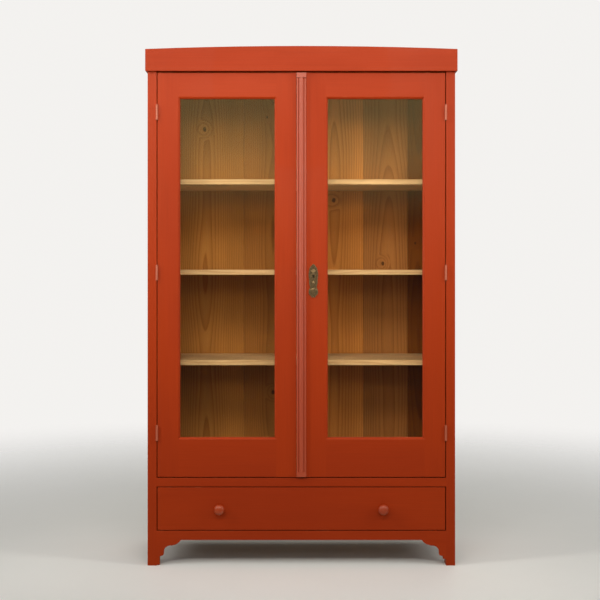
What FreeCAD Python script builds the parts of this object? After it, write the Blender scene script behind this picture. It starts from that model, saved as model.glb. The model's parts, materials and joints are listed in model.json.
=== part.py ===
"""Pine display cabinet with two glazed doors over one wide drawer, in millimetres.

The origin lies on the floor under the middle of the cabinet, +Z is up and the front faces -Y.
Depths are measured back from the front faces of the posts, so a negative depth stands proud of them.
Left and right are as seen from the front, and the right half is mirrored wherever both halves match.
"""
import FreeCAD
import Part
import math
import os

# Case
CASE_WIDTH = 1128.0
CASE_DEPTH = 430.0
CASE_HEIGHT = 1812.0
POST_WIDTH = 33.0
POST_DEPTH = 55.0
RAIL_TENON = 12.0
RAIL_TENON_THICKNESS = 9.0
RAIL_TENON_SHOULDER = 6.0

# Front, from the floor up
LEG_HEIGHT = 93.0
APRON_HEIGHT = 34.0
APRON_THICKNESS = 22.0
DRAWER_OPENING = 162.0
DIVIDER_HEIGHT = 32.0

# Sides
SIDE_RAIL_THICKNESS = 26.0
SIDE_RAIL_SETBACK = 2.0
SIDE_TOP_RAIL = 90.0
SIDE_MIDDLE_RAIL = 90.0
SIDE_BOTTOM_RAIL = 80.0
SIDE_TENON = 25.0
SIDE_TENON_SHOULDER = 12.0
PANEL_THICKNESS = 10.0
PANEL_GROOVE = 8.0
PANEL_CLEARANCE = 0.4

# Top board, floor board and back
BOARD_THICKNESS = 20.0
BOARD_HOUSING = 8.0
DOOR_STOP_HEIGHT = 13.0
DOOR_STOP_CLEARANCE = 1.0
BACK_THICKNESS = 12.0
BACK_REBATE = 10.0
BACK_BOARD_PARTS = (31, 24, 24, 18, 11)
BACK_BOARD_GAP = 1.2
BACK_TONGUE = 6.0
BACK_TONGUE_THICKNESS = 4.0
BACK_TONGUE_CLEARANCE = 0.3
BACK_RAIL_HEIGHT = 80.0
BACK_RAIL_THICKNESS = 22.0

# Shelves
SHELF_COUNT = 3
SHELF_THICKNESS = 19.0
SHELF_PITCH = 337.0
LOWEST_SHELF_RISE = 414.0
SHELF_SETBACK = 68.0
SHELF_CLEARANCE = 1.5
SHELF_BACK_CLEARANCE = 0.5
CLEAT_WIDTH = 20.0
CLEAT_HEIGHT = 25.0
CLEAT_SETBACK = 34.0
CLEAT_BACK_GAP = 8.0

# Cap
CAP_HEIGHT = 80.0
CAP_RISE = 11.0
CAP_BOARD = 22.0
CAP_SIDE_OVERHANG = 7.0
CAP_FRONT_OVERHANG = 15.0
CAP_BACK_HEIGHT = 60.0
CAP_BLOCK_LEG = 36.0
CAP_BLOCK_HEIGHT = 55.0

# Brackets beside the front feet, outlined by distance from the post and drop below the apron
BRACKET_THICKNESS = 22.0
BRACKET_LENGTH = 89.0
BRACKET_TOE = 10.6
BRACKET_TOE_DROP = 60.0
BRACKET_STEP = (24.2, 55.6)
BRACKET_COVE_START = (25.7, 40.0)
BRACKET_COVE_MIDDLE = (35.0, 25.6)
BRACKET_COVE_END = (54.0, 20.4)
BRACKET_SWELL_START = (69.0, 16.7)
BRACKET_SWELL_MIDDLE = (80.5, 9.6)
LEFT_TOE_CLEARANCE = 2.0
RIGHT_TOE_CLEARANCE = 24.0

# Doors
DOOR_THICKNESS = 24.0
DOOR_SIDE_GAP = 3.0
DOOR_BOTTOM_GAP = 3.5
DOOR_TOP_GAP = 4.0
MEETING_GAP = 1.4
HINGE_STILE = 83.0
MEETING_STILE = 79.0
DOOR_TOP_RAIL = 96.0
DOOR_BOTTOM_RAIL = 145.0
CHAMFER_WIDTH = 6.5
CHAMFER_DEPTH = 5.5
GLASS_LIP = 11.0
GLASS_THICKNESS = 3.0
GLASS_CLEARANCE = 1.0
REBATE_WIDTH = 9.0
BEAD_WIDTH = 8.0
BEAD_DEPTH = 9.0
DOOR_TENON = 45.0
DOOR_TENON_THICKNESS = 8.0
DOOR_TENON_HAUNCH = 20.0
DOOR_TENON_MARGIN = 4.0

# Strip that covers the meeting edge of the doors
STRIP_WIDTH = 36.0
STRIP_BASE = 6.0
STRIP_SIDE_REED = 8.5
STRIP_SIDE_REED_RISE = 3.2
STRIP_MIDDLE_RISE = 6.4
STRIP_BLOCK = 18.0
STRIP_BLOCK_PROUD = 12.8
STRIP_END_GAP = 2.0

# Butt hinges
HINGE_FROM_TOP = 146.0
HINGE_FROM_BOTTOM = 162.0
HINGE_LENGTH = 57.0
HINGE_LEAF_WIDTH = 20.0
HINGE_LEAF_THICKNESS = 2.0
KNUCKLE_COUNT = 3
KNUCKLE_DIAMETER = 8.5
KNUCKLE_GAP = 0.3
KNUCKLE_CLEARANCE = 0.3
PIN_DIAMETER = 4.0
PIN_CLEARANCE = 0.05

# Lock let into the back of the right door, and its keyhole
KEYHOLE_HEIGHT = 1062.0
KEYHOLE_BACKSET = 62.0
KEYHOLE_DIAMETER = 7.0
KEYHOLE_SLOT_WIDTH = 3.2
KEYHOLE_SLOT_DROP = 10.0
LOCK_WIDTH = 84.0
LOCK_HEIGHT = 80.0
LOCK_DEPTH = 14.0
LOCK_WALL = 1.6
LOCK_CLEARANCE = 0.2
LOCK_BOLT_RISE = 14.0
LOCK_BOLT_LENGTH = 56.0
LOCK_BOLT_HEIGHT = 18.0
LOCK_BOLT_THICKNESS = 7.0
LOCK_BOLT_CLEARANCE = 0.3
LOCK_BOLT_REST = 0.5
LOCK_BOLT_NOTCH = 7.0
LOCK_BOLT_THROW = 10.0
STRIKE_CLEARANCE = 0.6

# Keyhole plate, outlined to the right of its middle line and up from the keyhole
PLATE_THICKNESS = 2.2
PLATE_BOSS_DIAMETER = 15.0
PLATE_BOSS_PROUD = 1.4
PLATE_TIP = (0.0, 45.0)
PLATE_POINT = ((7.9, 37.0), (13.2, 29.0))
PLATE_SHOULDER = ((17.0, 12.5), (15.1, -14.5))
PLATE_BELLY = ((15.7, -23.0), (13.2, -35.5))
PLATE_WAIST = ((12.7, -40.5), (14.2, -47.0))
PLATE_LOBE = ((17.6, -58.5), (14.4, -69.5))
PLATE_FOOT = ((8.8, -74.0), (5.4, -82.0))
PLATE_NOTCH = ((2.4, -78.6), (0.0, -77.2))

# Bolts on the inner face of the left door
BOLT_WIDTH = 12.0
BOLT_THICKNESS = 5.0
BOLT_LENGTH = 118.0
BOLT_REST_GAP = 2.0
BOLT_THROW = 12.0
BOLT_CLEARANCE = 0.1
BOLT_HOLE_CLEARANCE = 0.5
BOLT_END_CLEARANCE = 3.0
BOLT_GUIDE_START = 20.0
BOLT_GUIDE_LENGTH = 96.0
BOLT_GUIDE_WIDTH = 24.0
BOLT_GUIDE_THICKNESS = 2.0
BOLT_STAPLE_INSET = 10.0
BOLT_STAPLE_HEIGHT = 12.0
BOLT_STAPLE_WIDTH = 18.0
BOLT_STAPLE_WALL = 2.5
BOLT_TAB_FROM_TIP = 60.0
BOLT_TAB_THICKNESS = 4.0
BOLT_TAB_REACH = 18.0

# Drawer
DRAWER_GAP = 3.0
DRAWER_FRONT = 22.0
DRAWER_SIDE = 13.0
DRAWER_BACK = 13.0
DRAWER_SIDE_DROP = 8.0
DRAWER_BACK_DROP = 6.0
DRAWER_BOTTOM = 7.0
DRAWER_BOTTOM_RISE = 9.0
DRAWER_BOTTOM_GROOVE = 6.0
DRAWER_BOTTOM_CLEARANCE = 0.3
DOVETAIL_LAP = 6.0
FRONT_TAILS = 4
BACK_TAILS = 3
PIN_SPACE = 13.0
DOVETAIL_SLOPE = 6.0
RUNNER_WIDTH = 32.0
RUNNER_HEIGHT = 26.0
RUNNER_CLEARANCE = 0.3
KICKER_CLEARANCE = 1.2
STOP_HEIGHT = 18.0
STOP_LENGTH = 11.0

# Turned drawer knobs
KNOB_SPACING = 600.0
KNOB_DIAMETER = 39.0
KNOB_PROJECTION = 34.0
KNOB_BASE_DIAMETER = 27.0
KNOB_BASE_HEIGHT = 3.5
KNOB_NECK_DIAMETER = 18.0
KNOB_NECK_PROUD = 10.0
KNOB_RIM_PROUD = 20.0
KNOB_RIM_EDGE = 3.0
KNOB_SPIGOT_DIAMETER = 14.0
KNOB_SPIGOT_CLEARANCE = 0.1

# Places that follow from the sizes above
HALF_WIDTH = CASE_WIDTH / 2
POST_INNER = HALF_WIDTH - POST_WIDTH
Y_FRONT = (KNOB_PROJECTION - CASE_DEPTH) / 2
REAR_POST_FRONT = CASE_DEPTH - POST_DEPTH
BACK_FRONT = CASE_DEPTH - BACK_THICKNESS
BACK_RAIL_FRONT = BACK_FRONT - BACK_RAIL_THICKNESS
SIDE_RAIL_OUTER = HALF_WIDTH - SIDE_RAIL_SETBACK
SIDE_RAIL_INNER = SIDE_RAIL_OUTER - SIDE_RAIL_THICKNESS
PANEL_INNER = (SIDE_RAIL_INNER + SIDE_RAIL_OUTER - PANEL_THICKNESS) / 2
PANEL_OUTER = PANEL_INNER + PANEL_THICKNESS
APRON_TOP = LEG_HEIGHT + APRON_HEIGHT
DIVIDER_BOTTOM = APRON_TOP + DRAWER_OPENING
DIVIDER_TOP = DIVIDER_BOTTOM + DIVIDER_HEIGHT
DOOR_STOP_DEPTH = DOOR_THICKNESS + DOOR_STOP_CLEARANCE
FLOOR_TOP = DIVIDER_TOP + DOOR_STOP_HEIGHT
FLOOR_BOTTOM = FLOOR_TOP - BOARD_THICKNESS
TOP_BOARD_BOTTOM = CASE_HEIGHT - BOARD_THICKNESS
DOOR_EDGE = POST_INNER - DOOR_SIDE_GAP
DOOR_BOTTOM = DIVIDER_TOP + DOOR_BOTTOM_GAP
DOOR_TOP = CASE_HEIGHT - DOOR_TOP_GAP
MEETING_EDGE = -STRIP_WIDTH / 2
HINGE_X = POST_INNER - DOOR_SIDE_GAP / 2
HINGE_DEPTH = -KNUCKLE_DIAMETER / 2 - KNUCKLE_CLEARANCE
HINGE_LOW = DOOR_BOTTOM + HINGE_FROM_BOTTOM
HINGE_HIGH = DOOR_TOP - HINGE_FROM_TOP
HINGE_HEIGHTS = (HINGE_LOW, (HINGE_LOW + HINGE_HIGH) / 2, HINGE_HIGH)
KEYHOLE_X = MEETING_EDGE + KEYHOLE_BACKSET
LOCK_FRONT = DOOR_THICKNESS - LOCK_DEPTH
LOCK_BOLT_HEIGHT_ABOVE_FLOOR = KEYHOLE_HEIGHT + LOCK_BOLT_RISE
BOLT_DEPTH = DOOR_THICKNESS + BOLT_GUIDE_THICKNESS + BOLT_STAPLE_WALL / 2 + BOLT_THICKNESS / 2
BOLT_X = MEETING_EDGE - MEETING_GAP - (MEETING_STILE - REBATE_WIDTH) / 2
BOLT_HOLE_DEPTH = BOLT_THROW - BOLT_REST_GAP + BOLT_END_CLEARANCE
DRAWER_EDGE = POST_INNER - DRAWER_GAP
DRAWER_FRONT_BOTTOM = APRON_TOP + DRAWER_GAP
DRAWER_FRONT_TOP = DIVIDER_BOTTOM - DRAWER_GAP
DRAWER_SIDE_TOP = DRAWER_FRONT_TOP - DRAWER_SIDE_DROP
DRAWER_INNER = DRAWER_EDGE - DRAWER_SIDE
STOP_FRONT = BACK_RAIL_FRONT - STOP_LENGTH
DRAWER_LENGTH = STOP_FRONT - RUNNER_CLEARANCE
DRAWER_BACK_FRONT = DRAWER_LENGTH - DRAWER_BACK
DRAWER_BOTTOM_LOW = DRAWER_FRONT_BOTTOM + DRAWER_BOTTOM_RISE
DRAWER_BOTTOM_HIGH = DRAWER_BOTTOM_LOW + DRAWER_BOTTOM


class Door:
    """Outside edges and sight opening of one door."""

    def __init__(self, left, right, left_stile, right_stile):
        self.left = left
        self.right = right
        self.sight_left = left + left_stile
        self.sight_right = right - right_stile
        self.sight_bottom = DOOR_BOTTOM + DOOR_BOTTOM_RAIL
        self.sight_top = DOOR_TOP - DOOR_TOP_RAIL


LEFT_DOOR = Door(-DOOR_EDGE, MEETING_EDGE - MEETING_GAP, HINGE_STILE, MEETING_STILE)
RIGHT_DOOR = Door(MEETING_EDGE, DOOR_EDGE, STRIP_WIDTH + MEETING_STILE, HINGE_STILE)


# Helpers

def point(x, depth, z):
    """A point at the given depth behind the post fronts."""
    return FreeCAD.Vector(x, Y_FRONT + depth, z)


def board(x0, x1, d0, d1, z0, z1):
    """A square-edged board between two places in each direction."""
    return Part.makeBox(x1 - x0, d1 - d0, z1 - z0, point(x0, d0, z0))


def rod(diameter, start, direction, length):
    """A round bar from a point along a direction."""
    return Part.makeCylinder(diameter / 2, length, start, direction)


def mirrored(shape):
    """The same piece on the other side of the cabinet's middle."""
    return shape.mirror(FreeCAD.Vector(0, 0, 0), FreeCAD.Vector(1, 0, 0))


def joined(shapes):
    """Several shapes run together into one clean solid."""
    return shapes[0].multiFuse(shapes[1:]).removeSplitter()


def outline(place, start, steps):
    """A face bounded by lines, given as (end,), and arcs, given as (middle, end)."""
    edges = []
    here = place(*start)
    for step in steps:
        there = place(*step[-1])
        if len(step) == 1:
            edges.append(Part.LineSegment(here, there).toShape())
        else:
            edges.append(Part.Arc(here, place(*step[0]), there).toShape())
        here = there
    edges.append(Part.LineSegment(here, place(*start)).toShape())
    return Part.Face(Part.Wire(edges))


def front_prism(corners, d0, d1):
    """A straight-sided outline in the front plane, carried back through a depth."""
    loop = [point(x, d0, z) for x, z in corners]
    face = Part.Face(Part.makePolygon(loop + loop[:1]))
    return face.extrude(FreeCAD.Vector(0, d1 - d0, 0))


def plan_prism(corners, z0, z1):
    """A straight-sided outline seen from above, carried up through a height."""
    loop = [point(x, depth, z0) for x, depth in corners]
    face = Part.Face(Part.makePolygon(loop + loop[:1]))
    return face.extrude(FreeCAD.Vector(0, 0, z1 - z0))


def save(name, *solids):
    """Writes one named piece, or one named group of like pieces."""
    shape = solids[0] if len(solids) == 1 else Part.makeCompound(list(solids))
    shape.exportStep("parts/" + name + ".step")


# Case frame

def side_rail_levels():
    """Bottom and top of the three rails of a side."""
    middle = (FLOOR_TOP + FLOOR_BOTTOM) / 2
    return (
        (LEG_HEIGHT, LEG_HEIGHT + SIDE_BOTTOM_RAIL),
        (middle - SIDE_MIDDLE_RAIL / 2, middle + SIDE_MIDDLE_RAIL / 2),
        (CASE_HEIGHT - SIDE_TOP_RAIL, CASE_HEIGHT),
    )


def side_panel_levels():
    """Bottom and top of the two panels of a side, with their edges in the rail grooves."""
    low, middle, high = side_rail_levels()
    return (
        (low[1] - PANEL_GROOVE, middle[0] + PANEL_GROOVE),
        (middle[1] - PANEL_GROOVE, high[0] + PANEL_GROOVE),
    )


def side_tenon(level, d0, d1):
    """The part of a side rail that enters a post."""
    low, high = level
    return board(PANEL_INNER, PANEL_OUTER, d0, d1, low + SIDE_TENON_SHOULDER, high - SIDE_TENON_SHOULDER)


def cross_tenon(z0, z1, d0, d1):
    """The part of a front or back rail that enters the right post."""
    middle = (d0 + d1) / 2
    return board(
        POST_INNER, POST_INNER + RAIL_TENON,
        middle - RAIL_TENON_THICKNESS / 2, middle + RAIL_TENON_THICKNESS / 2,
        z0 + RAIL_TENON_SHOULDER, z1 - RAIL_TENON_SHOULDER)


def cross_rail(z0, z1, d0, d1):
    """A rail between two posts, with a stub tenon at each end."""
    tenon = cross_tenon(z0, z1, d0, d1)
    return joined([board(-POST_INNER, POST_INNER, d0, d1, z0, z1), tenon, mirrored(tenon)])


def hinge_recess(x0, x1, z):
    """The bed cut for one hinge leaf."""
    return board(x0, x1, 0, HINGE_LEAF_WIDTH, z - HINGE_LENGTH / 2, z + HINGE_LENGTH / 2)


def front_post():
    """Right front post, with mortises, panel grooves and hinge beds."""
    cuts = [board(PANEL_INNER, PANEL_OUTER, POST_DEPTH - PANEL_GROOVE, POST_DEPTH, *level)
            for level in side_panel_levels()]
    cuts += [side_tenon(level, POST_DEPTH - SIDE_TENON, POST_DEPTH) for level in side_rail_levels()]
    cuts.append(cross_tenon(LEG_HEIGHT, APRON_TOP, 0, APRON_THICKNESS))
    cuts.append(cross_tenon(DIVIDER_BOTTOM, DIVIDER_TOP, 0, DOOR_STOP_DEPTH))
    cuts += [hinge_recess(POST_INNER, POST_INNER + HINGE_LEAF_THICKNESS, z) for z in HINGE_HEIGHTS]
    return board(POST_INNER, HALF_WIDTH, 0, POST_DEPTH, 0, CASE_HEIGHT).cut(cuts)


def rear_post():
    """Right rear post, with mortises, panel grooves and the rebate for the back boards."""
    cuts = [board(PANEL_INNER, PANEL_OUTER, REAR_POST_FRONT, REAR_POST_FRONT + PANEL_GROOVE, *level)
            for level in side_panel_levels()]
    cuts += [side_tenon(level, REAR_POST_FRONT, REAR_POST_FRONT + SIDE_TENON)
             for level in side_rail_levels()]
    cuts.append(cross_tenon(LEG_HEIGHT, LEG_HEIGHT + BACK_RAIL_HEIGHT, BACK_RAIL_FRONT, BACK_FRONT))
    cuts.append(board(POST_INNER, POST_INNER + BACK_REBATE, BACK_FRONT, CASE_DEPTH, LEG_HEIGHT, CASE_HEIGHT))
    return board(POST_INNER, HALF_WIDTH, REAR_POST_FRONT, CASE_DEPTH, 0, CASE_HEIGHT).cut(cuts)


def side_rails():
    """The three rails of the right side, tenoned at both ends and grooved for the panels."""
    cuts = [board(PANEL_INNER, PANEL_OUTER, POST_DEPTH, REAR_POST_FRONT, *level)
            for level in side_panel_levels()]
    cuts += [board(SIDE_RAIL_INNER, SIDE_RAIL_INNER + BOARD_HOUSING, POST_DEPTH, REAR_POST_FRONT, *level)
             for level in ((FLOOR_BOTTOM, FLOOR_TOP), (TOP_BOARD_BOTTOM, CASE_HEIGHT))]
    rails = []
    for level in side_rail_levels():
        bar = board(SIDE_RAIL_INNER, SIDE_RAIL_OUTER, POST_DEPTH, REAR_POST_FRONT, *level)
        front = side_tenon(level, POST_DEPTH - SIDE_TENON, POST_DEPTH)
        rear = side_tenon(level, REAR_POST_FRONT, REAR_POST_FRONT + SIDE_TENON)
        rails.append(joined([bar.cut(cuts), front, rear]))
    return rails


def side_panels():
    """The two flat panels of the right side, loose in their grooves."""
    reach = PANEL_GROOVE - PANEL_CLEARANCE
    return [board(PANEL_INNER, PANEL_OUTER, POST_DEPTH - reach, REAR_POST_FRONT + reach,
                  low + PANEL_CLEARANCE, high - PANEL_CLEARANCE)
            for low, high in side_panel_levels()]


def housed_board(z0):
    """The top or floor board: notched round the posts and housed in the side rails."""
    housed = SIDE_RAIL_INNER + BOARD_HOUSING
    z1 = z0 + BOARD_THICKNESS
    between_posts = board(-POST_INNER, POST_INNER, DOOR_STOP_DEPTH, BACK_FRONT, z0, z1)
    between_rails = board(-housed, housed, POST_DEPTH, REAR_POST_FRONT, z0, z1)
    return joined([between_posts, between_rails])


def bolt_bar(z0, z1, margin):
    """The flat bar of a door bolt between two heights, or the space that it runs in."""
    half_width = BOLT_WIDTH / 2 + margin
    half_thickness = BOLT_THICKNESS / 2 + margin
    return board(BOLT_X - half_width, BOLT_X + half_width,
                 BOLT_DEPTH - half_thickness, BOLT_DEPTH + half_thickness, z0, z1)


def bolt_hole(z0):
    """The socket of a door bolt in the top or floor board."""
    return bolt_bar(z0, z0 + BOLT_HOLE_DEPTH, BOLT_HOLE_CLEARANCE)


def top_board():
    """Board over the glazed part, whose front edge stops the doors."""
    return housed_board(TOP_BOARD_BOTTOM).cut(bolt_hole(TOP_BOARD_BOTTOM))


def floor_board():
    """Board under the glazed part, standing above the divider rail to stop the doors."""
    return housed_board(FLOOR_BOTTOM).cut(bolt_hole(FLOOR_TOP - BOLT_HOLE_DEPTH))


def foot_bracket(toe_clearance):
    """Scalloped bracket between the right post and the apron."""
    def place(out, drop):
        return point(POST_INNER - out, 0, LEG_HEIGHT - drop)

    toe_drop = LEG_HEIGHT - toe_clearance
    face = outline(place, (0, 0), (
        ((0, toe_drop),),
        ((BRACKET_TOE, toe_drop),),
        ((BRACKET_TOE, BRACKET_TOE_DROP),),
        (BRACKET_STEP,),
        (BRACKET_COVE_START,),
        (BRACKET_COVE_MIDDLE, BRACKET_COVE_END),
        (BRACKET_SWELL_START,),
        (BRACKET_SWELL_MIDDLE, (BRACKET_LENGTH, 0)),
    ))
    return face.extrude(FreeCAD.Vector(0, BRACKET_THICKNESS, 0))


def back_boards():
    """Upright boards of uneven width, tongued into one another, from left to right."""
    half = POST_INNER + BACK_REBATE - BACK_BOARD_GAP
    unit = 2 * half / sum(BACK_BOARD_PARTS)
    tongue_front = BACK_FRONT + (BACK_THICKNESS - BACK_TONGUE_THICKNESS) / 2
    tongue_back = tongue_front + BACK_TONGUE_THICKNESS
    groove_reach = BACK_TONGUE + BACK_TONGUE_CLEARANCE - BACK_BOARD_GAP
    boards = []
    left = -half
    for number, share in enumerate(BACK_BOARD_PARTS):
        edge = left + share * unit
        last = number == len(BACK_BOARD_PARTS) - 1
        right = edge if last else edge - BACK_BOARD_GAP
        piece = board(left, right, BACK_FRONT, CASE_DEPTH, LEG_HEIGHT, CASE_HEIGHT)
        if not last:
            tongue = board(right, right + BACK_TONGUE, tongue_front, tongue_back, LEG_HEIGHT, CASE_HEIGHT)
            piece = joined([piece, tongue])
        if number > 0:
            piece = piece.cut(board(
                left, left + groove_reach,
                tongue_front - BACK_TONGUE_CLEARANCE, tongue_back + BACK_TONGUE_CLEARANCE,
                LEG_HEIGHT, CASE_HEIGHT))
        boards.append(piece)
        left = edge
    return boards


def shelf_top(number):
    """Height of a shelf's upper face, counted from the lowest shelf."""
    return FLOOR_TOP + LOWEST_SHELF_RISE + number * SHELF_PITCH


def shelf(number):
    """One loose shelf."""
    half = POST_INNER - SHELF_CLEARANCE
    top = shelf_top(number)
    return board(-half, half, SHELF_SETBACK, BACK_FRONT - SHELF_BACK_CLEARANCE, top - SHELF_THICKNESS, top)


def shelf_cleats():
    """The bearers under both ends of every shelf, fixed to the posts."""
    cleats = []
    for number in range(SHELF_COUNT):
        top = shelf_top(number) - SHELF_THICKNESS
        cleat = board(POST_INNER - CLEAT_WIDTH, POST_INNER, CLEAT_SETBACK, BACK_FRONT - CLEAT_BACK_GAP,
                      top - CLEAT_HEIGHT, top)
        cleats += [cleat, mirrored(cleat)]
    return cleats


# Cap

CAP_HALF = HALF_WIDTH + CAP_SIDE_OVERHANG
CAP_FRONT = -CAP_FRONT_OVERHANG
CAP_INNER = CAP_HALF - CAP_BOARD
CAP_INNER_FRONT = CAP_FRONT + CAP_BOARD
CAP_INNER_BACK = CASE_DEPTH - CAP_BOARD
CAP_END_TOP = CASE_HEIGHT + CAP_HEIGHT


def cap_front():
    """Front board of the cap: mitred at both ends, with an arched top edge."""
    plan = ((-CAP_HALF, CAP_FRONT), (CAP_HALF, CAP_FRONT),
            (CAP_INNER, CAP_INNER_FRONT), (-CAP_INNER, CAP_INNER_FRONT))

    def place(x, z):
        return point(x, CAP_FRONT, z)

    arched = outline(place, (-CAP_HALF, CASE_HEIGHT), (
        ((-CAP_HALF, CAP_END_TOP),),
        ((0, CAP_END_TOP + CAP_RISE), (CAP_HALF, CAP_END_TOP)),
        ((CAP_HALF, CASE_HEIGHT),),
    )).extrude(FreeCAD.Vector(0, CAP_BOARD, 0))
    return arched.common(plan_prism(plan, CASE_HEIGHT, CAP_END_TOP + CAP_RISE))


def cap_side():
    """Right return of the cap, mitred to the front board."""
    plan = ((CAP_HALF, CAP_FRONT), (CAP_HALF, CASE_DEPTH), (CAP_INNER, CASE_DEPTH),
            (CAP_INNER, CAP_INNER_FRONT))
    return plan_prism(plan, CASE_HEIGHT, CAP_END_TOP)


def cap_back():
    """Back rail of the cap, between its returns."""
    return board(-CAP_INNER, CAP_INNER, CAP_INNER_BACK, CASE_DEPTH,
                 CASE_HEIGHT, CASE_HEIGHT + CAP_BACK_HEIGHT)


def cap_blocks():
    """Glue blocks of the cap: one along the front, over the doors, and one in each back corner."""
    along = board(-CAP_INNER, CAP_INNER, CAP_INNER_FRONT, CAP_INNER_FRONT + CAP_BLOCK_LEG,
                  CASE_HEIGHT, CASE_HEIGHT + CAP_BLOCK_LEG)
    plan = ((CAP_INNER, CAP_INNER_BACK), (CAP_INNER - CAP_BLOCK_LEG, CAP_INNER_BACK),
            (CAP_INNER, CAP_INNER_BACK - CAP_BLOCK_LEG))
    corner = plan_prism(plan, CASE_HEIGHT, CASE_HEIGHT + CAP_BLOCK_HEIGHT)
    return [along, corner, mirrored(corner)]


# Doors

def around_sight(door, margin, d0, d1):
    """The sight opening of a door, widened by a margin, between two depths."""
    return board(door.sight_left - margin, door.sight_right + margin, d0, d1,
                 door.sight_bottom - margin, door.sight_top + margin)


def sight_chamfer(door):
    """The wedge taken off the front edges of the sight opening."""
    wires = []
    for margin, depth in ((CHAMFER_WIDTH, 0), (0, CHAMFER_DEPTH)):
        x0, x1 = door.sight_left - margin, door.sight_right + margin
        z0, z1 = door.sight_bottom - margin, door.sight_top + margin
        corners = [point(x, depth, z) for x, z in ((x0, z0), (x1, z0), (x1, z1), (x0, z1))]
        wires.append(Part.makePolygon(corners + corners[:1]))
    return Part.makeLoft(wires, True, True)


def shoulder(door, side):
    """Outer edge, sight edge and shoulder line of a stile."""
    if side == "left":
        return door.left, door.sight_left, door.sight_left - CHAMFER_WIDTH
    return door.right, door.sight_right, door.sight_right + CHAMFER_WIDTH


def stile_zone(door, side):
    """The part of a door that is stile: square shoulders, with the chamfers mitred."""
    outer, sight, line = shoulder(door, side)
    low = door.sight_bottom - CHAMFER_WIDTH
    high = door.sight_top + CHAMFER_WIDTH
    corners = ((outer, DOOR_BOTTOM), (line, DOOR_BOTTOM), (line, low), (sight, door.sight_bottom),
               (sight, door.sight_top), (line, high), (line, DOOR_TOP), (outer, DOOR_TOP))
    return front_prism(corners, 0, DOOR_THICKNESS)


def rail_tenons(door, z0, z1):
    """The two tenons of a door rail."""
    d0 = (DOOR_THICKNESS - DOOR_TENON_THICKNESS) / 2
    d1 = d0 + DOOR_TENON_THICKNESS
    left = shoulder(door, "left")[2]
    right = shoulder(door, "right")[2]
    return [board(left - DOOR_TENON, left, d0, d1, z0, z1),
            board(right, right + DOOR_TENON, d0, d1, z0, z1)]


def door_frame(door):
    """Left stile, right stile, bottom rail and top rail of a door."""
    whole = board(door.left, door.right, 0, DOOR_THICKNESS, DOOR_BOTTOM, DOOR_TOP).cut([
        around_sight(door, 0, 0, DOOR_THICKNESS),
        sight_chamfer(door),
        around_sight(door, REBATE_WIDTH, GLASS_LIP, DOOR_THICKNESS),
    ])
    zones = [stile_zone(door, side) for side in ("left", "right")]
    rails = sorted(whole.cut(zones).Solids, key=lambda solid: solid.CenterOfMass.z)
    margin = REBATE_WIDTH + DOOR_TENON_MARGIN
    tenons = [
        rail_tenons(door, DOOR_BOTTOM + DOOR_TENON_HAUNCH, door.sight_bottom - margin),
        rail_tenons(door, door.sight_top + margin, DOOR_TOP - DOOR_TENON_HAUNCH),
    ]
    stiles = [whole.common(zone).cut(tenons[0] + tenons[1]) for zone in zones]
    return stiles + [joined([rail] + pair) for rail, pair in zip(rails, tenons)]


def pane(door):
    """The glass of a door, behind its lip."""
    margin = REBATE_WIDTH - GLASS_CLEARANCE
    return around_sight(door, margin, GLASS_LIP, GLASS_LIP + GLASS_THICKNESS)


def beads(door):
    """The four mitred beads that hold the glass."""
    d0 = GLASS_LIP + GLASS_THICKNESS
    d1 = d0 + BEAD_DEPTH
    inset = REBATE_WIDTH - BEAD_WIDTH
    left, right = door.sight_left, door.sight_right
    low, high = door.sight_bottom, door.sight_top
    outer = [(left - REBATE_WIDTH, low - REBATE_WIDTH), (right + REBATE_WIDTH, low - REBATE_WIDTH),
             (right + REBATE_WIDTH, high + REBATE_WIDTH), (left - REBATE_WIDTH, high + REBATE_WIDTH)]
    inner = [(left - inset, low - inset), (right + inset, low - inset),
             (right + inset, high + inset), (left - inset, high + inset)]
    strips = []
    for here in range(len(outer)):
        after = (here + 1) % len(outer)
        strips.append(front_prism((outer[here], outer[after], inner[after], inner[here]), d0, d1))
    return strips


def left_door_stiles_and_rails():
    """Frame of the left door, with hinge beds and the socket of the lock bolt."""
    hinge_stile, meeting_stile, bottom_rail, top_rail = door_frame(LEFT_DOOR)
    edge = -DOOR_EDGE
    hinge_stile = hinge_stile.cut(
        [hinge_recess(edge, edge + HINGE_LEAF_THICKNESS, z) for z in HINGE_HEIGHTS])
    return hinge_stile, meeting_stile.cut(strike_socket()), bottom_rail, top_rail


def right_door_stiles_and_rails():
    """Frame of the right door, with hinge beds, the bed of the lock and the keyhole."""
    meeting_stile, hinge_stile, bottom_rail, top_rail = door_frame(RIGHT_DOOR)
    hinge_stile = hinge_stile.cut(
        [hinge_recess(DOOR_EDGE - HINGE_LEAF_THICKNESS, DOOR_EDGE, z) for z in HINGE_HEIGHTS])
    meeting_stile = meeting_stile.cut([lock_box(0), keyhole(0, LOCK_FRONT)])
    return hinge_stile, meeting_stile, bottom_rail, top_rail


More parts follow.
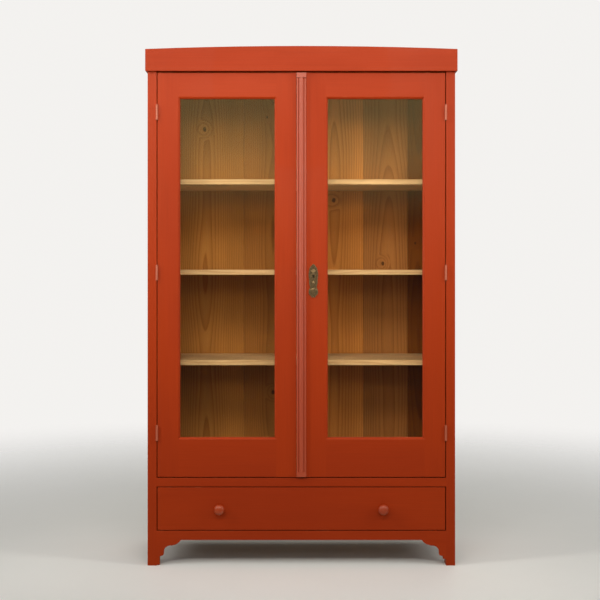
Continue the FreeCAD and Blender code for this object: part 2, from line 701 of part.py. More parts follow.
def cover_strip():
    """Reeded strip on the right door's meeting edge, with a plain block at each end."""
    z0 = DOOR_BOTTOM + STRIP_END_GAP
    z1 = DOOR_TOP - STRIP_END_GAP

    def place(x, proud):
        return point(x, -proud, z0)

    half = STRIP_WIDTH / 2
    bead = half - STRIP_SIDE_REED
    side_middle = half - STRIP_SIDE_REED / 2
    side_top = STRIP_BASE + STRIP_SIDE_REED_RISE
    reeded = outline(place, (-half, 0), (
        ((-half, STRIP_BASE),),
        ((-side_middle, side_top), (-bead, STRIP_BASE)),
        ((0, STRIP_BASE + STRIP_MIDDLE_RISE), (bead, STRIP_BASE)),
        ((side_middle, side_top), (half, STRIP_BASE)),
        ((half, 0),),
    )).extrude(FreeCAD.Vector(0, 0, z1 - z0))
    blocks = [board(-half, half, -STRIP_BLOCK_PROUD, 0, low, low + STRIP_BLOCK)
              for low in (z0, z1 - STRIP_BLOCK)]
    return joined([reeded] + blocks)


# Hinges

def knuckle_span(z, number):
    """Bottom and height of one knuckle of a hinge."""
    pitch = HINGE_LENGTH / KNUCKLE_COUNT
    return z - HINGE_LENGTH / 2 + number * pitch + KNUCKLE_GAP / 2, pitch - KNUCKLE_GAP


def hinge_leaf(z, x0, first, bore_clearance):
    """One leaf of a right-hand hinge, with every other knuckle from the first."""
    up = FreeCAD.Vector(0, 0, 1)
    x1 = x0 + HINGE_LEAF_THICKNESS
    shapes = [board(x0, x1, 0, HINGE_LEAF_WIDTH, z - HINGE_LENGTH / 2, z + HINGE_LENGTH / 2)]
    for number in range(first, KNUCKLE_COUNT, 2):
        low, height = knuckle_span(z, number)
        shapes.append(rod(KNUCKLE_DIAMETER, point(HINGE_X, HINGE_DEPTH, low), up, height))
        shapes.append(board(x0, x1, HINGE_DEPTH, 0, low, low + height))
    bore = rod(PIN_DIAMETER + 2 * bore_clearance, point(HINGE_X, HINGE_DEPTH, z - HINGE_LENGTH), up,
               2 * HINGE_LENGTH)
    return joined(shapes).cut(bore)


def case_leaves():
    """The leaves let into the right post."""
    return [hinge_leaf(z, POST_INNER, 0, PIN_CLEARANCE) for z in HINGE_HEIGHTS]


def door_leaves():
    """The leaves let into the right door."""
    return [hinge_leaf(z, DOOR_EDGE - HINGE_LEAF_THICKNESS, 1, PIN_CLEARANCE) for z in HINGE_HEIGHTS]


def hinge_pins():
    """The pins of the right-hand hinges, flush with the outer knuckles."""
    up = FreeCAD.Vector(0, 0, 1)
    return [rod(PIN_DIAMETER, point(HINGE_X, HINGE_DEPTH, z - HINGE_LENGTH / 2), up, HINGE_LENGTH)
            for z in HINGE_HEIGHTS]


# Lock, keyhole plate and bolts

def keyhole(d0, d1):
    """Round hole and slot of the keyhole, between two depths."""
    length = d1 - d0
    bow = rod(KEYHOLE_DIAMETER, point(KEYHOLE_X, d0, KEYHOLE_HEIGHT), FreeCAD.Vector(0, 1, 0), length)
    half = KEYHOLE_SLOT_WIDTH / 2
    slot = board(KEYHOLE_X - half, KEYHOLE_X + half, d0, d1,
                 KEYHOLE_HEIGHT - KEYHOLE_SLOT_DROP, KEYHOLE_HEIGHT)
    return joined([bow, slot])


def lock_box(inset):
    """The block of space of the lock, drawn in by an inset on every inner side."""
    return board(MEETING_EDGE + inset, MEETING_EDGE + LOCK_WIDTH - inset,
                 LOCK_FRONT + inset, DOOR_THICKNESS - inset,
                 KEYHOLE_HEIGHT - LOCK_HEIGHT / 2 + inset, KEYHOLE_HEIGHT + LOCK_HEIGHT / 2 - inset)


def lock_bolt_bar(x0, x1, margin):
    """The bar of the lock bolt, or the space that it runs in."""
    depth = LOCK_FRONT + LOCK_DEPTH / 2
    half_thickness = LOCK_BOLT_THICKNESS / 2 + margin
    half_height = LOCK_BOLT_HEIGHT / 2 + margin
    return board(x0, x1, depth - half_thickness, depth + half_thickness,
                 LOCK_BOLT_HEIGHT_ABOVE_FLOOR - half_height, LOCK_BOLT_HEIGHT_ABOVE_FLOOR + half_height)


def lock_case():
    """Sheet case of the lock: hollow, with a slot for the bolt and a keyhole at the front."""
    wall = LOCK_WALL + LOCK_CLEARANCE
    outer = board(MEETING_EDGE, MEETING_EDGE + LOCK_WIDTH - LOCK_CLEARANCE,
                  LOCK_FRONT, DOOR_THICKNESS,
                  KEYHOLE_HEIGHT - LOCK_HEIGHT / 2 + LOCK_CLEARANCE,
                  KEYHOLE_HEIGHT + LOCK_HEIGHT / 2 - LOCK_CLEARANCE)
    slot = lock_bolt_bar(MEETING_EDGE, MEETING_EDGE + wall, LOCK_BOLT_CLEARANCE)
    return outer.cut([lock_box(wall), slot, keyhole(LOCK_FRONT, LOCK_FRONT + wall)])


def lock_bolt():
    """Bolt of the lock, drawn back, with the notch that the key turns in."""
    x0 = MEETING_EDGE + LOCK_BOLT_REST
    bar = lock_bolt_bar(x0, x0 + LOCK_BOLT_LENGTH, 0)
    low = LOCK_BOLT_HEIGHT_ABOVE_FLOOR - LOCK_BOLT_HEIGHT / 2
    notch = board(x0 + LOCK_BOLT_LENGTH - 2 * LOCK_BOLT_NOTCH, x0 + LOCK_BOLT_LENGTH - LOCK_BOLT_NOTCH,
                  0, DOOR_THICKNESS, low, low + LOCK_BOLT_NOTCH)
    return bar.cut(notch)


def strike_socket():
    """The hole in the left door's edge that the thrown lock bolt enters."""
    edge = LEFT_DOOR.right
    return lock_bolt_bar(edge - LOCK_BOLT_THROW, edge, STRIKE_CLEARANCE)


def keyhole_plate():
    """Waisted keyhole plate with a pointed top, a lower lobe and a raised ring round the keyhole."""
    def place(out, up):
        return point(KEYHOLE_X + out, -PLATE_THICKNESS, KEYHOLE_HEIGHT + up)

    half = outline(place, PLATE_TIP, (
        PLATE_POINT, PLATE_SHOULDER, PLATE_BELLY, PLATE_WAIST, PLATE_LOBE, PLATE_FOOT, PLATE_NOTCH,
    )).extrude(FreeCAD.Vector(0, PLATE_THICKNESS, 0))
    other = half.mirror(point(KEYHOLE_X, 0, 0), FreeCAD.Vector(1, 0, 0))
    front = -PLATE_THICKNESS - PLATE_BOSS_PROUD
    boss = rod(PLATE_BOSS_DIAMETER, point(KEYHOLE_X, front, KEYHOLE_HEIGHT), FreeCAD.Vector(0, 1, 0), -front)
    return joined([half, other, boss]).cut(keyhole(front, 0))


def bolt_span(tip, way, near, far):
    """Bottom and top of a stretch of a door bolt, measured back from its tip."""
    ends = (tip - way * near, tip - way * far)
    return min(ends), max(ends)


def bolt_guide(tip, way):
    """Plate with two staples that a door bolt slides in."""
    back = DOOR_THICKNESS + BOLT_GUIDE_THICKNESS
    half = BOLT_GUIDE_WIDTH / 2
    far = BOLT_GUIDE_START + BOLT_GUIDE_LENGTH
    low, high = bolt_span(tip, way, BOLT_GUIDE_START, far)
    shapes = [board(BOLT_X - half, BOLT_X + half, DOOR_THICKNESS, back, low, high)]
    half = BOLT_STAPLE_WIDTH / 2
    reach = BOLT_DEPTH + BOLT_THICKNESS / 2 + BOLT_STAPLE_WALL
    for near in (BOLT_GUIDE_START + BOLT_STAPLE_INSET, far - BOLT_STAPLE_INSET - BOLT_STAPLE_HEIGHT):
        z0, z1 = bolt_span(tip, way, near, near + BOLT_STAPLE_HEIGHT)
        shapes.append(board(BOLT_X - half, BOLT_X + half, back, reach, z0, z1))
    return joined(shapes).cut(bolt_bar(low, high, BOLT_CLEARANCE))


def door_bolt(tip, way):
    """Flat bolt, drawn back, with a thumb tab between its staples."""
    low, high = bolt_span(tip, way, 0, BOLT_LENGTH)
    middle = tip - way * BOLT_TAB_FROM_TIP
    tab = board(BOLT_X - BOLT_WIDTH / 2, BOLT_X + BOLT_WIDTH / 2, BOLT_DEPTH, BOLT_DEPTH + BOLT_TAB_REACH,
                middle - BOLT_TAB_THICKNESS / 2, middle + BOLT_TAB_THICKNESS / 2)
    return joined([bolt_bar(low, high, 0), tab])


# Drawer

def tails(shoulder_depth, tip_depth, z0, z1, count):
    """Dovetails of the right drawer side, wider at the tip than at the shoulder."""
    pitch = (z1 - z0) / count
    half_shoulder = (pitch - PIN_SPACE) / 2
    half_tip = half_shoulder + abs(tip_depth - shoulder_depth) / DOVETAIL_SLOPE
    prisms = []
    for number in range(count):
        middle = z0 + (number + 0.5) * pitch
        corners = ((shoulder_depth, middle - half_shoulder), (tip_depth, middle - half_tip),
                   (tip_depth, middle + half_tip), (shoulder_depth, middle + half_shoulder))
        loop = [point(DRAWER_INNER, depth, z) for depth, z in corners]
        face = Part.Face(Part.makePolygon(loop + loop[:1]))
        prisms.append(face.extrude(FreeCAD.Vector(DRAWER_SIDE, 0, 0)))
    return prisms


def with_sockets(shape, prisms):
    """A drawer front or back with dovetail sockets at both ends."""
    return shape.cut(prisms + [mirrored(prism) for prism in prisms])


def knob_place(x):
    """The middle of a knob on the face of the drawer front."""
    return point(x, 0, (DRAWER_FRONT_BOTTOM + DRAWER_FRONT_TOP) / 2)


def drawer_front():
    """Drawer front with lapped dovetail sockets, a groove for the bottom and holes for the knobs."""
    front = board(-DRAWER_EDGE, DRAWER_EDGE, 0, DRAWER_FRONT, DRAWER_FRONT_BOTTOM, DRAWER_FRONT_TOP)
    front = with_sockets(front, tails(DRAWER_FRONT, DOVETAIL_LAP, DRAWER_FRONT_BOTTOM, DRAWER_SIDE_TOP,
                                      FRONT_TAILS))
    groove = board(-DRAWER_INNER, DRAWER_INNER, DRAWER_FRONT - DRAWER_BOTTOM_GROOVE, DRAWER_FRONT,
                   DRAWER_BOTTOM_LOW, DRAWER_BOTTOM_HIGH)
    diameter = KNOB_SPIGOT_DIAMETER + 2 * KNOB_SPIGOT_CLEARANCE
    holes = [rod(diameter, knob_place(x), FreeCAD.Vector(0, 1, 0), DRAWER_FRONT)
             for x in (-KNOB_SPACING / 2, KNOB_SPACING / 2)]
    return front.cut([groove] + holes)


def drawer_back():
    """Drawer back with through dovetails, standing on the bottom."""
    high = DRAWER_SIDE_TOP - DRAWER_BACK_DROP
    back = board(-DRAWER_EDGE, DRAWER_EDGE, DRAWER_BACK_FRONT, DRAWER_LENGTH, DRAWER_BOTTOM_HIGH, high)
    return with_sockets(back, tails(DRAWER_BACK_FRONT, DRAWER_LENGTH, DRAWER_BOTTOM_HIGH, high, BACK_TAILS))


def drawer_side(front, back):
    """Right drawer side, dovetailed to the front and the back and grooved for the bottom."""
    whole = board(DRAWER_INNER, DRAWER_EDGE, DOVETAIL_LAP, DRAWER_LENGTH,
                  DRAWER_FRONT_BOTTOM, DRAWER_SIDE_TOP)
    groove = board(DRAWER_INNER, DRAWER_INNER + DRAWER_BOTTOM_GROOVE, DRAWER_FRONT, DRAWER_LENGTH,
                   DRAWER_BOTTOM_LOW, DRAWER_BOTTOM_HIGH)
    return whole.cut([front, back, groove])


def drawer_bottom():
    """Thin bottom, in grooves at the front and both sides and run under the back."""
    reach = DRAWER_BOTTOM_GROOVE - DRAWER_BOTTOM_CLEARANCE
    side = DRAWER_INNER + reach
    tongue = DRAWER_INNER - DRAWER_BOTTOM_CLEARANCE
    return joined([
        board(-side, side, DRAWER_FRONT, DRAWER_LENGTH, DRAWER_BOTTOM_LOW, DRAWER_BOTTOM_HIGH),
        board(-tongue, tongue, DRAWER_FRONT - reach, DRAWER_FRONT, DRAWER_BOTTOM_LOW, DRAWER_BOTTOM_HIGH),
    ])


def drawer_knob(x):
    """Turned knob with a spigot through the drawer front."""
    middle = knob_place(x)
    rim = KNOB_DIAMETER / 2
    base = KNOB_BASE_DIAMETER / 2
    neck = KNOB_NECK_DIAMETER / 2
    spigot = KNOB_SPIGOT_DIAMETER / 2
    dome_start = KNOB_RIM_PROUD + KNOB_RIM_EDGE
    dome_rise = KNOB_PROJECTION - dome_start
    dome_radius = (rim ** 2 + dome_rise ** 2) / (2 * dome_rise)
    half_angle = math.asin(rim / dome_radius) / 2
    dome_middle = (dome_radius * math.sin(half_angle),
                   KNOB_PROJECTION - dome_radius * (1 - math.cos(half_angle)))

    def place(radius, proud):
        return middle + FreeCAD.Vector(radius, -proud, 0)

    profile = outline(place, (0, -DRAWER_FRONT), (
        ((spigot, -DRAWER_FRONT),),
        ((spigot, 0),),
        ((base, 0),),
        ((base, KNOB_BASE_HEIGHT),),
        ((neck, KNOB_NECK_PROUD),),
        ((rim, KNOB_RIM_PROUD),),
        ((rim, dome_start),),
        (dome_middle, (0, KNOB_PROJECTION)),
    ))
    return profile.revolve(middle, FreeCAD.Vector(0, 1, 0), 360)


def drawer_runner():
    """Bar under the right drawer side, between the apron and the back rail."""
    top = DRAWER_FRONT_BOTTOM - RUNNER_CLEARANCE
    return board(POST_INNER - RUNNER_WIDTH, POST_INNER, APRON_THICKNESS, BACK_RAIL_FRONT,
                 top - RUNNER_HEIGHT, top)


def drawer_kicker():
    """Bar over the right drawer side that keeps the open drawer level."""
    return board(POST_INNER - RUNNER_WIDTH, POST_INNER, DOOR_STOP_DEPTH, BACK_RAIL_FRONT,
                 DRAWER_SIDE_TOP + KICKER_CLEARANCE, FLOOR_BOTTOM)


def drawer_stop():
    """Block on the right runner that the closed drawer meets."""
    low = DRAWER_FRONT_BOTTOM - RUNNER_CLEARANCE
    return board(DRAWER_INNER, POST_INNER, STOP_FRONT, BACK_RAIL_FRONT, low, low + STOP_HEIGHT)


# Writing the pieces

def pair(solid):
    """A right-hand piece together with its mirror image."""
    return solid, mirrored(solid)


def write_case():
    """Everything that stands still."""
    for name, solid in (("front", front_post()), ("rear", rear_post())):
        save(name + "_right_post", solid)
        save(name + "_left_post", mirrored(solid))
    for name, solids in (("side_rails", side_rails()), ("side_panels", side_panels())):
        save("right_" + name, *solids)
        save("left_" + name, *[mirrored(solid) for solid in solids])
    save("top_board", top_board())
    save("floor_board", floor_board())
    save("divider_rail", cross_rail(DIVIDER_BOTTOM, DIVIDER_TOP, 0, DOOR_STOP_DEPTH))
    save("apron_rail", cross_rail(LEG_HEIGHT, APRON_TOP, 0, APRON_THICKNESS))
    save("back_rail", cross_rail(LEG_HEIGHT, LEG_HEIGHT + BACK_RAIL_HEIGHT, BACK_RAIL_FRONT, BACK_FRONT))
    save("right_foot_bracket", foot_bracket(RIGHT_TOE_CLEARANCE))
    save("left_foot_bracket", mirrored(foot_bracket(LEFT_TOE_CLEARANCE)))
    for number, solid in enumerate(back_boards(), 1):
        save("back_board_%d" % number, solid)
    for number in range(SHELF_COUNT):
        save("shelf_%d" % (number + 1), shelf(number))
    save("shelf_cleats", *shelf_cleats())
    save("drawer_runners", *pair(drawer_runner()))
    save("drawer_kickers", *pair(drawer_kicker()))
    save("drawer_stops", *pair(drawer_stop()))
    save("cap_front", cap_front())
    save("cap_right_side", cap_side())
    save("cap_left_side", mirrored(cap_side()))
    save("cap_back", cap_back())
    save("cap_blocks", *cap_blocks())
    leaves = case_leaves()
    pins = hinge_pins()
    save("case_hinge_leaves", *leaves, *[mirrored(leaf) for leaf in leaves])
    save("hinge_pins", *pins, *[mirrored(pin) for pin in pins])


def write_door(side, door, frame):
    """The frame, glass and beads of one door."""
    names = ("hinge_stile", "meeting_stile", "bottom_rail", "top_rail")
    for name, solid in zip(names, frame):
        save(side + "_door_" + name, solid)
    save(side + "_door_glass", pane(door))
    save(side + "_door_beads", *beads(door))


def write_doors():
    """Both doors with their hardware."""
    write_door("left", LEFT_DOOR, left_door_stiles_and_rails())
    write_door("right", RIGHT_DOOR, right_door_stiles_and_rails())
    leaves = door_leaves()
    save("right_door_hinge_leaves", *leaves)
    save("left_door_hinge_leaves", *[mirrored(leaf) for leaf in leaves])
    save("cover_strip", cover_strip())
    save("keyhole_plate", keyhole_plate())
    save("lock_case", lock_case())
    save("lock_bolt", lock_bolt())
    top = (TOP_BOARD_BOTTOM - BOLT_REST_GAP, 1)
    bottom = (FLOOR_TOP + BOLT_REST_GAP, -1)
    save("left_door_bolt_guides", bolt_guide(*top), bolt_guide(*bottom))
    save("top_bolt", door_bolt(*top))
    save("bottom_bolt", door_bolt(*bottom))


def write_drawer():
    """The drawer with its knobs."""
    front = drawer_front()
    back = drawer_back()
    save("drawer_front", front)
    save("drawer_back", back)
    save("drawer_sides", *pair(drawer_side(front, back)))
    save("drawer_bottom", drawer_bottom())
    save("drawer_knobs", drawer_knob(-KNOB_SPACING / 2), drawer_knob(KNOB_SPACING / 2))


os.makedirs("parts", exist_ok=True)
write_case()
write_doors()
write_drawer()
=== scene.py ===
"""Looks, light and camera of a pine display cabinet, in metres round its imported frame."""

import json
import logging
import math
from dataclasses import dataclass, field
from enum import Enum

import bmesh
import bpy
from bmesh.types import BMEdge, BMesh, BMFace, BMVert
from bpy.types import ID, Material, Mesh, Node, NodeOutputs, NodeSocket, NodeTree, Object
from mathutils import Matrix, Vector
from mathutils.bvhtree import BVHTree


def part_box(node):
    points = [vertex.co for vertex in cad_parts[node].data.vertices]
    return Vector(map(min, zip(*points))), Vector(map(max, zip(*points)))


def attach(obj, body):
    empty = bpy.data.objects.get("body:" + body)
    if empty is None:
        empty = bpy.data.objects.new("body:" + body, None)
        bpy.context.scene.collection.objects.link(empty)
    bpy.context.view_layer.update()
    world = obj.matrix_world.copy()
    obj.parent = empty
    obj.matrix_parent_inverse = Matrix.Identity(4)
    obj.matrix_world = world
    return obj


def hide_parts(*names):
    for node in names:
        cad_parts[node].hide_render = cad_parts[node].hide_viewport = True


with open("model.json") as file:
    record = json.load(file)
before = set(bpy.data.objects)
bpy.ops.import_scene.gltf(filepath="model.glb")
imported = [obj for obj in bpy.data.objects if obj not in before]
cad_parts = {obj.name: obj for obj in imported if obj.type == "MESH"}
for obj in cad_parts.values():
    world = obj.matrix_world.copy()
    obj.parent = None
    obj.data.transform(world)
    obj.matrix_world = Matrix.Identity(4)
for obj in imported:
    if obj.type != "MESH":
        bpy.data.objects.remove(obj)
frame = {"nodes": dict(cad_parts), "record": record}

MM = 0.001
MERGE = 0.002 * MM
LOG = logging.getLogger("cabinet")

Pair = tuple[float, float]
Triple = tuple[float, float, float]
Colour = Triple
Places = list[tuple[Vector, Vector]]


class Side(Enum):
    """The six ways that a face of a board can look."""

    FRONT = (0, -1, 0)
    BACK = (0, 1, 0)
    LEFT = (-1, 0, 0)
    RIGHT = (1, 0, 0)
    TOP = (0, 0, 1)
    BOTTOM = (0, 0, -1)

    @staticmethod
    def of(normal: Vector) -> "Side":
        """The side that a normal looks to most."""
        return max(Side, key=lambda side: normal.dot(Vector(side.value)))


class Grain(Enum):
    """The axes across a board, through it and along its grain."""

    UPRIGHT_FRONT = "XYZ"
    UPRIGHT_SIDE = "YXZ"
    LEVEL_FRONT = "ZYX"
    LEVEL_FLAT = "YZX"
    DEPTH_SIDE = "ZXY"
    DEPTH_FLAT = "XZY"


Sides = tuple[Side, ...]
EVERY_SIDE: Sides = tuple(Side)
NO_SIDE: Sides = ()
ALL_BUT_BACK: Sides = tuple(side for side in Side if side is not Side.BACK)
RAIL_SIDES: Sides = (Side.FRONT, Side.TOP, Side.BOTTOM)
OUTWARD = {"left": Side.LEFT, "right": Side.RIGHT}
BACKWARDS = Vector(Side.BACK.value)


# Shader nodes


class Nodes:
    """A short way to lay out the shader nodes of one tree."""

    mix_inputs = (0, 6, 7)
    mix_output = 2

    def __init__(self, tree: NodeTree) -> None:
        """Takes the tree that the nodes go into."""
        self.tree = tree

    def feed(self, socket: NodeSocket, value: object) -> None:
        """Links a socket to another, or sets its own value.

        Args:
            socket: the input that is fed.
            value: another node's output, or a plain value.
        """
        if isinstance(value, NodeSocket):
            self.tree.links.new(value, socket)
        else:
            socket.default_value = value

    def dress(self, node: Node, **feeds: object) -> None:
        """Feeds a node's inputs, with _ for a space in their names."""
        for name, value in feeds.items():
            self.feed(node.inputs[name.replace("_", " ")], value)

    def add(self, kind: str, feeds: dict | None = None, **settings: object) -> Node:
        """Adds one node.

        Args:
            kind: Blender's name of the shader node.
            feeds: values or sockets for the node's inputs.
            settings: the node's own options.

        Returns:
            The new node.
        """
        node = self.tree.nodes.new("ShaderNode" + kind)
        for name, value in settings.items():
            setattr(node, name, value)
        for name, value in (feeds or {}).items():
            self.feed(node.inputs[name], value)
        return node

    def place(self, kind: str = "Object") -> NodeSocket:
        """The place on a piece or, as Generated, the way that a ray leaves for the world."""
        return self.add("TexCoord").outputs[kind]

    def parts(self, vector: NodeSocket) -> NodeOutputs:
        """The X, Y and Z of a vector."""
        return self.add("SeparateXYZ", {0: vector}).outputs

    def math(self, operation: str, *terms: object) -> NodeSocket:
        """A Math node, with its inputs in order."""
        return self.add("Math", dict(enumerate(terms)), operation=operation).outputs[0]

    def length(self, *parts: NodeSocket) -> NodeSocket:
        """The length of a vector of two parts."""
        squares = [self.math("MULTIPLY", part, part) for part in parts]
        return self.math("SQRT", self.math("ADD", *squares))

    def noise(self, vector: NodeSocket, waves: Triple, detail: float = 2.0) -> NodeSocket:
        """Noise with so many waves to a metre along each axis."""
        scaled = self.add("VectorMath", {0: vector, 1: waves}, operation="MULTIPLY").outputs[0]
        return self.add("TexNoise", {"Vector": scaled, "Scale": 1.0, "Detail": detail}).outputs["Fac"]

    def spread(self, value: object, low: object, high: object, start: float = 0.0,
               end: float = 1.0) -> NodeSocket:
        """A value moved smoothly from low and high to start and end, and held there."""
        feeds = {"Value": value, "From Min": low, "From Max": high, "To Min": start, "To Max": end}
        return self.add("MapRange", feeds, interpolation_type="SMOOTHSTEP").outputs[0]

    def blend(self, share: object, first: object, second: object, kind: str = "MIX") -> NodeSocket:
        """A mix of two colours.

        Args:
            share: share of the second colour.
            first: colour or socket.
            second: colour or socket.
            kind: Blender's name of the mix.

        Returns:
            The colour's socket.
        """
        node = self.add("Mix", data_type="RGBA", blend_type=kind)
        for index, value in zip(self.mix_inputs, (share, first, second)):
            if isinstance(value, tuple):
                value = (*value, 1.0)
            self.feed(node.inputs[index], value)
        return node.outputs[self.mix_output]

    def shaded(self, colour: object, value: object) -> NodeSocket:
        """A colour multiplied by a grey value."""
        grey = self.add("CombineXYZ", {0: value, 1: value, 2: value}).outputs[0]
        return self.blend(1.0, colour, grey, "MULTIPLY")

    def bump(self, height: object, strength: float, distance: float) -> NodeSocket:
        """A normal from a height, with the metres of a full step."""
        feeds = {"Height": height, "Strength": strength, "Distance": distance}
        return self.add("Bump", feeds).outputs[0]

    def in_view(self) -> NodeSocket:
        """Tells what the camera sees, also through glass, from light that has been scattered.

        Returns:
            The socket of a value of 1 for what is seen and 0 for scattered light.
        """
        path = self.add("LightPath").outputs
        seen = self.math("MAXIMUM", path["Is Camera Ray"], path["Is Transmission Ray"])
        bounces = self.math("ADD", path["Diffuse Depth"], path["Glossy Depth"])
        return self.math("MULTIPLY", seen, self.math("LESS_THAN", bounces, 0.5))


class Effect:
    """A shader node group that is built once and placed in several materials."""

    name = "Effect"
    takes: tuple[tuple[str, str, object], ...] = (("Place", "NodeSocketVector", None),)
    gives: tuple[str, ...] = ()

    def lay(self, nodes: Nodes, given: NodeOutputs) -> dict[str, NodeSocket]:
        """Lays out the group's nodes and gives its outputs by name."""
        raise NotImplementedError

    def group(self) -> NodeTree:
        """Builds the group at its first use.

        Returns:
            The group's tree.
        """
        tree = bpy.data.node_groups.get(self.name)
        if tree:
            return tree
        tree = bpy.data.node_groups.new(self.name, "ShaderNodeTree")
        for name, kind, default in self.takes:
            socket = tree.interface.new_socket(name, in_out="INPUT", socket_type=kind)
            if default is not None:
                socket.default_value = default
        for name in self.gives:
            tree.interface.new_socket(name, in_out="OUTPUT", socket_type="NodeSocketFloat")
        start, end = (tree.nodes.new("NodeGroup" + way) for way in ("Input", "Output"))
        for name, socket in self.lay(Nodes(tree), start.outputs).items():
            tree.links.new(socket, end.inputs[name])
        return tree

    def put(self, nodes: Nodes, **feeds: object) -> NodeOutputs:
        """Puts the group into a material.

        Args:
            nodes: the material's nodes.
            feeds: the group's inputs, with _ for a space in their names.

        Returns:
            The group node's outputs.
        """
        group = nodes.add("Group", node_tree=self.group())
        nodes.dress(group, **feeds)
        return group.outputs


class PineFigure(Effect):
    """Growth rings, fibres and knots of flat-sawn pine."""

    name = "Pine figure"
    takes = (
        *Effect.takes,
        ("Ring Width", "NodeSocketFloat", 6 * MM),
        ("Pith Depth", "NodeSocketFloat", 30 * MM),
        ("Knot Share", "NodeSocketFloat", 0.4),
    )
    gives = ("Rings", "Fibres", "Knots", "Tone")
    fibre_waves = (520.0, 520.0, 11.0)
    tone_waves = (6.0, 6.0, 1.1)
    wander_waves = (3.0, 3.0, 0.8)
    wander_width = 60 * MM
    lean_waves = (1.3, 1.3, 0.9)
    lean_depth = 90 * MM
    late_power = 2.4
    late_end = 0.9
    knots_across = 7.0
    knots_along = 2.3
    knot_stretch = 0.75
    knot_size = 22 * MM
    knot_waves = (90.0, 90.0, 90.0)
    knot_range = (0.2, 0.8)
    knot_sizes = (0.8, 1.2)
    knot_heart = 0.6
    swerve_reach = 4.5
    swerve_width = 14 * MM

    def knots(self, nodes: Nodes, given: NodeOutputs) -> tuple[NodeSocket, NodeSocket]:
        """Scatters knots over the board.

        Args:
            nodes: the group's nodes.
            given: the group's inputs.

        Returns:
            The knots, and how far the rings swerve past them.
        """
        parts = nodes.parts(given["Place"])
        cells = nodes.add("CombineXYZ", {
            0: nodes.math("MULTIPLY", parts["X"], self.knots_across),
            1: nodes.math("MULTIPLY", parts["Z"], self.knots_along),
        }).outputs[0]
        cell = nodes.add("TexVoronoi", {"Vector": cells, "Scale": 1.0}, voronoi_dimensions="2D").outputs
        middle = nodes.parts(cell["Position"])
        across = nodes.math("SUBTRACT", parts["X"], nodes.math("DIVIDE", middle["X"], self.knots_across))
        along = nodes.math("SUBTRACT", parts["Z"], nodes.math("DIVIDE", middle["Y"], self.knots_along))
        distance = nodes.length(across, nodes.math("MULTIPLY", along, self.knot_stretch))
        chance = nodes.add("SeparateColor", {0: cell["Color"]}).outputs[0]
        size = nodes.math("SUBTRACT", chance, nodes.math("SUBTRACT", 1.0, given["Knot Share"]))
        radius = nodes.math("MULTIPLY", nodes.math("MAXIMUM", size, 0.0), self.knot_size)
        lumps = nodes.noise(given["Place"], self.knot_waves)
        uneven = nodes.spread(lumps, *self.knot_range, *self.knot_sizes)
        rim = nodes.math("MULTIPLY", radius, uneven)
        knots = nodes.spread(distance, rim, nodes.math("MULTIPLY", rim, self.knot_heart))
        return knots, nodes.spread(distance, nodes.math("MULTIPLY", radius, self.swerve_reach), radius)

    def lay(self, nodes: Nodes, given: NodeOutputs) -> dict[str, NodeSocket]:
        """Lays out rings round a wandering pith that swerve past the knots.

        Args:
            nodes: the group's nodes.
            given: the group's inputs.

        Returns:
            The group's outputs by name.
        """
        place = given["Place"]
        parts = nodes.parts(place)
        knots, swerve = self.knots(nodes, given)
        wander = nodes.noise(place, self.wander_waves)
        lean = nodes.noise(place, self.lean_waves, 1.0)
        ring_x = nodes.math("MULTIPLY_ADD", wander, self.wander_width, parts["X"])
        ring_x = nodes.math("SUBTRACT", ring_x, self.wander_width / 2)
        ring_y = nodes.math("ADD", parts["Y"], given["Pith Depth"])
        ring_y = nodes.math("MULTIPLY_ADD", lean, self.lean_depth, ring_y)
        reach = nodes.math("MULTIPLY_ADD", swerve, self.swerve_width, nodes.length(ring_x, ring_y))
        ring = nodes.math("FRACT", nodes.math("DIVIDE", reach, given["Ring Width"]))
        late = nodes.math("POWER", ring, self.late_power)
        return {
            "Rings": nodes.math("MULTIPLY", late, nodes.spread(ring, 1.0, self.late_end)),
            "Fibres": nodes.noise(place, self.fibre_waves, 3.0),
            "Knots": knots,
            "Tone": nodes.noise(place, self.tone_waves, 3.0),
        }


class BrushMarks(Effect):
    """Fine streaks and broad clouds that a brush leaves in paint."""

    name = "Brush marks"
    gives = ("Streaks", "Clouds")
    streak_waves = (420.0, 420.0, 5.0)
    cloud_waves = (4.5, 4.5, 1.6)

    def lay(self, nodes: Nodes, given: NodeOutputs) -> dict[str, NodeSocket]:
        """Lays out streaks along the grain over slow clouds."""
        waves = {"Streaks": self.streak_waves, "Clouds": self.cloud_waves}
        return {name: nodes.noise(given["Place"], wave, 4.0) for name, wave in waves.items()}


class ArrisWear(Effect):
    """Where handling has thinned a finish along the eased arrises; on the red paint the same mask also lays
    a painted highlight along them.
    """

    name = "Arris wear"
    takes = (
        *Effect.takes,
        ("Arris", "NodeSocketFloat", 0.0),
        ("Amount", "NodeSocketFloat", 0.5),
    )
    gives = ("Worn",)
    patch_waves = (38.0, 38.0, 38.0)
    fade = 0.12

    def lay(self, nodes: Nodes, given: NodeOutputs) -> dict[str, NodeSocket]:
        """Breaks the arrises up with uneven patches.

        Args:
            nodes: the group's nodes.
            given: the group's inputs.

        Returns:
            The group's outputs by name.
        """
        patches = nodes.noise(given["Place"], self.patch_waves, 5.0)
        limit = nodes.math("SUBTRACT", 1.0, given["Amount"])
        shown = nodes.spread(patches, limit, nodes.math("ADD", limit, self.fade))
        return {"Worn": nodes.math("MULTIPLY", shown, given["Arris"])}


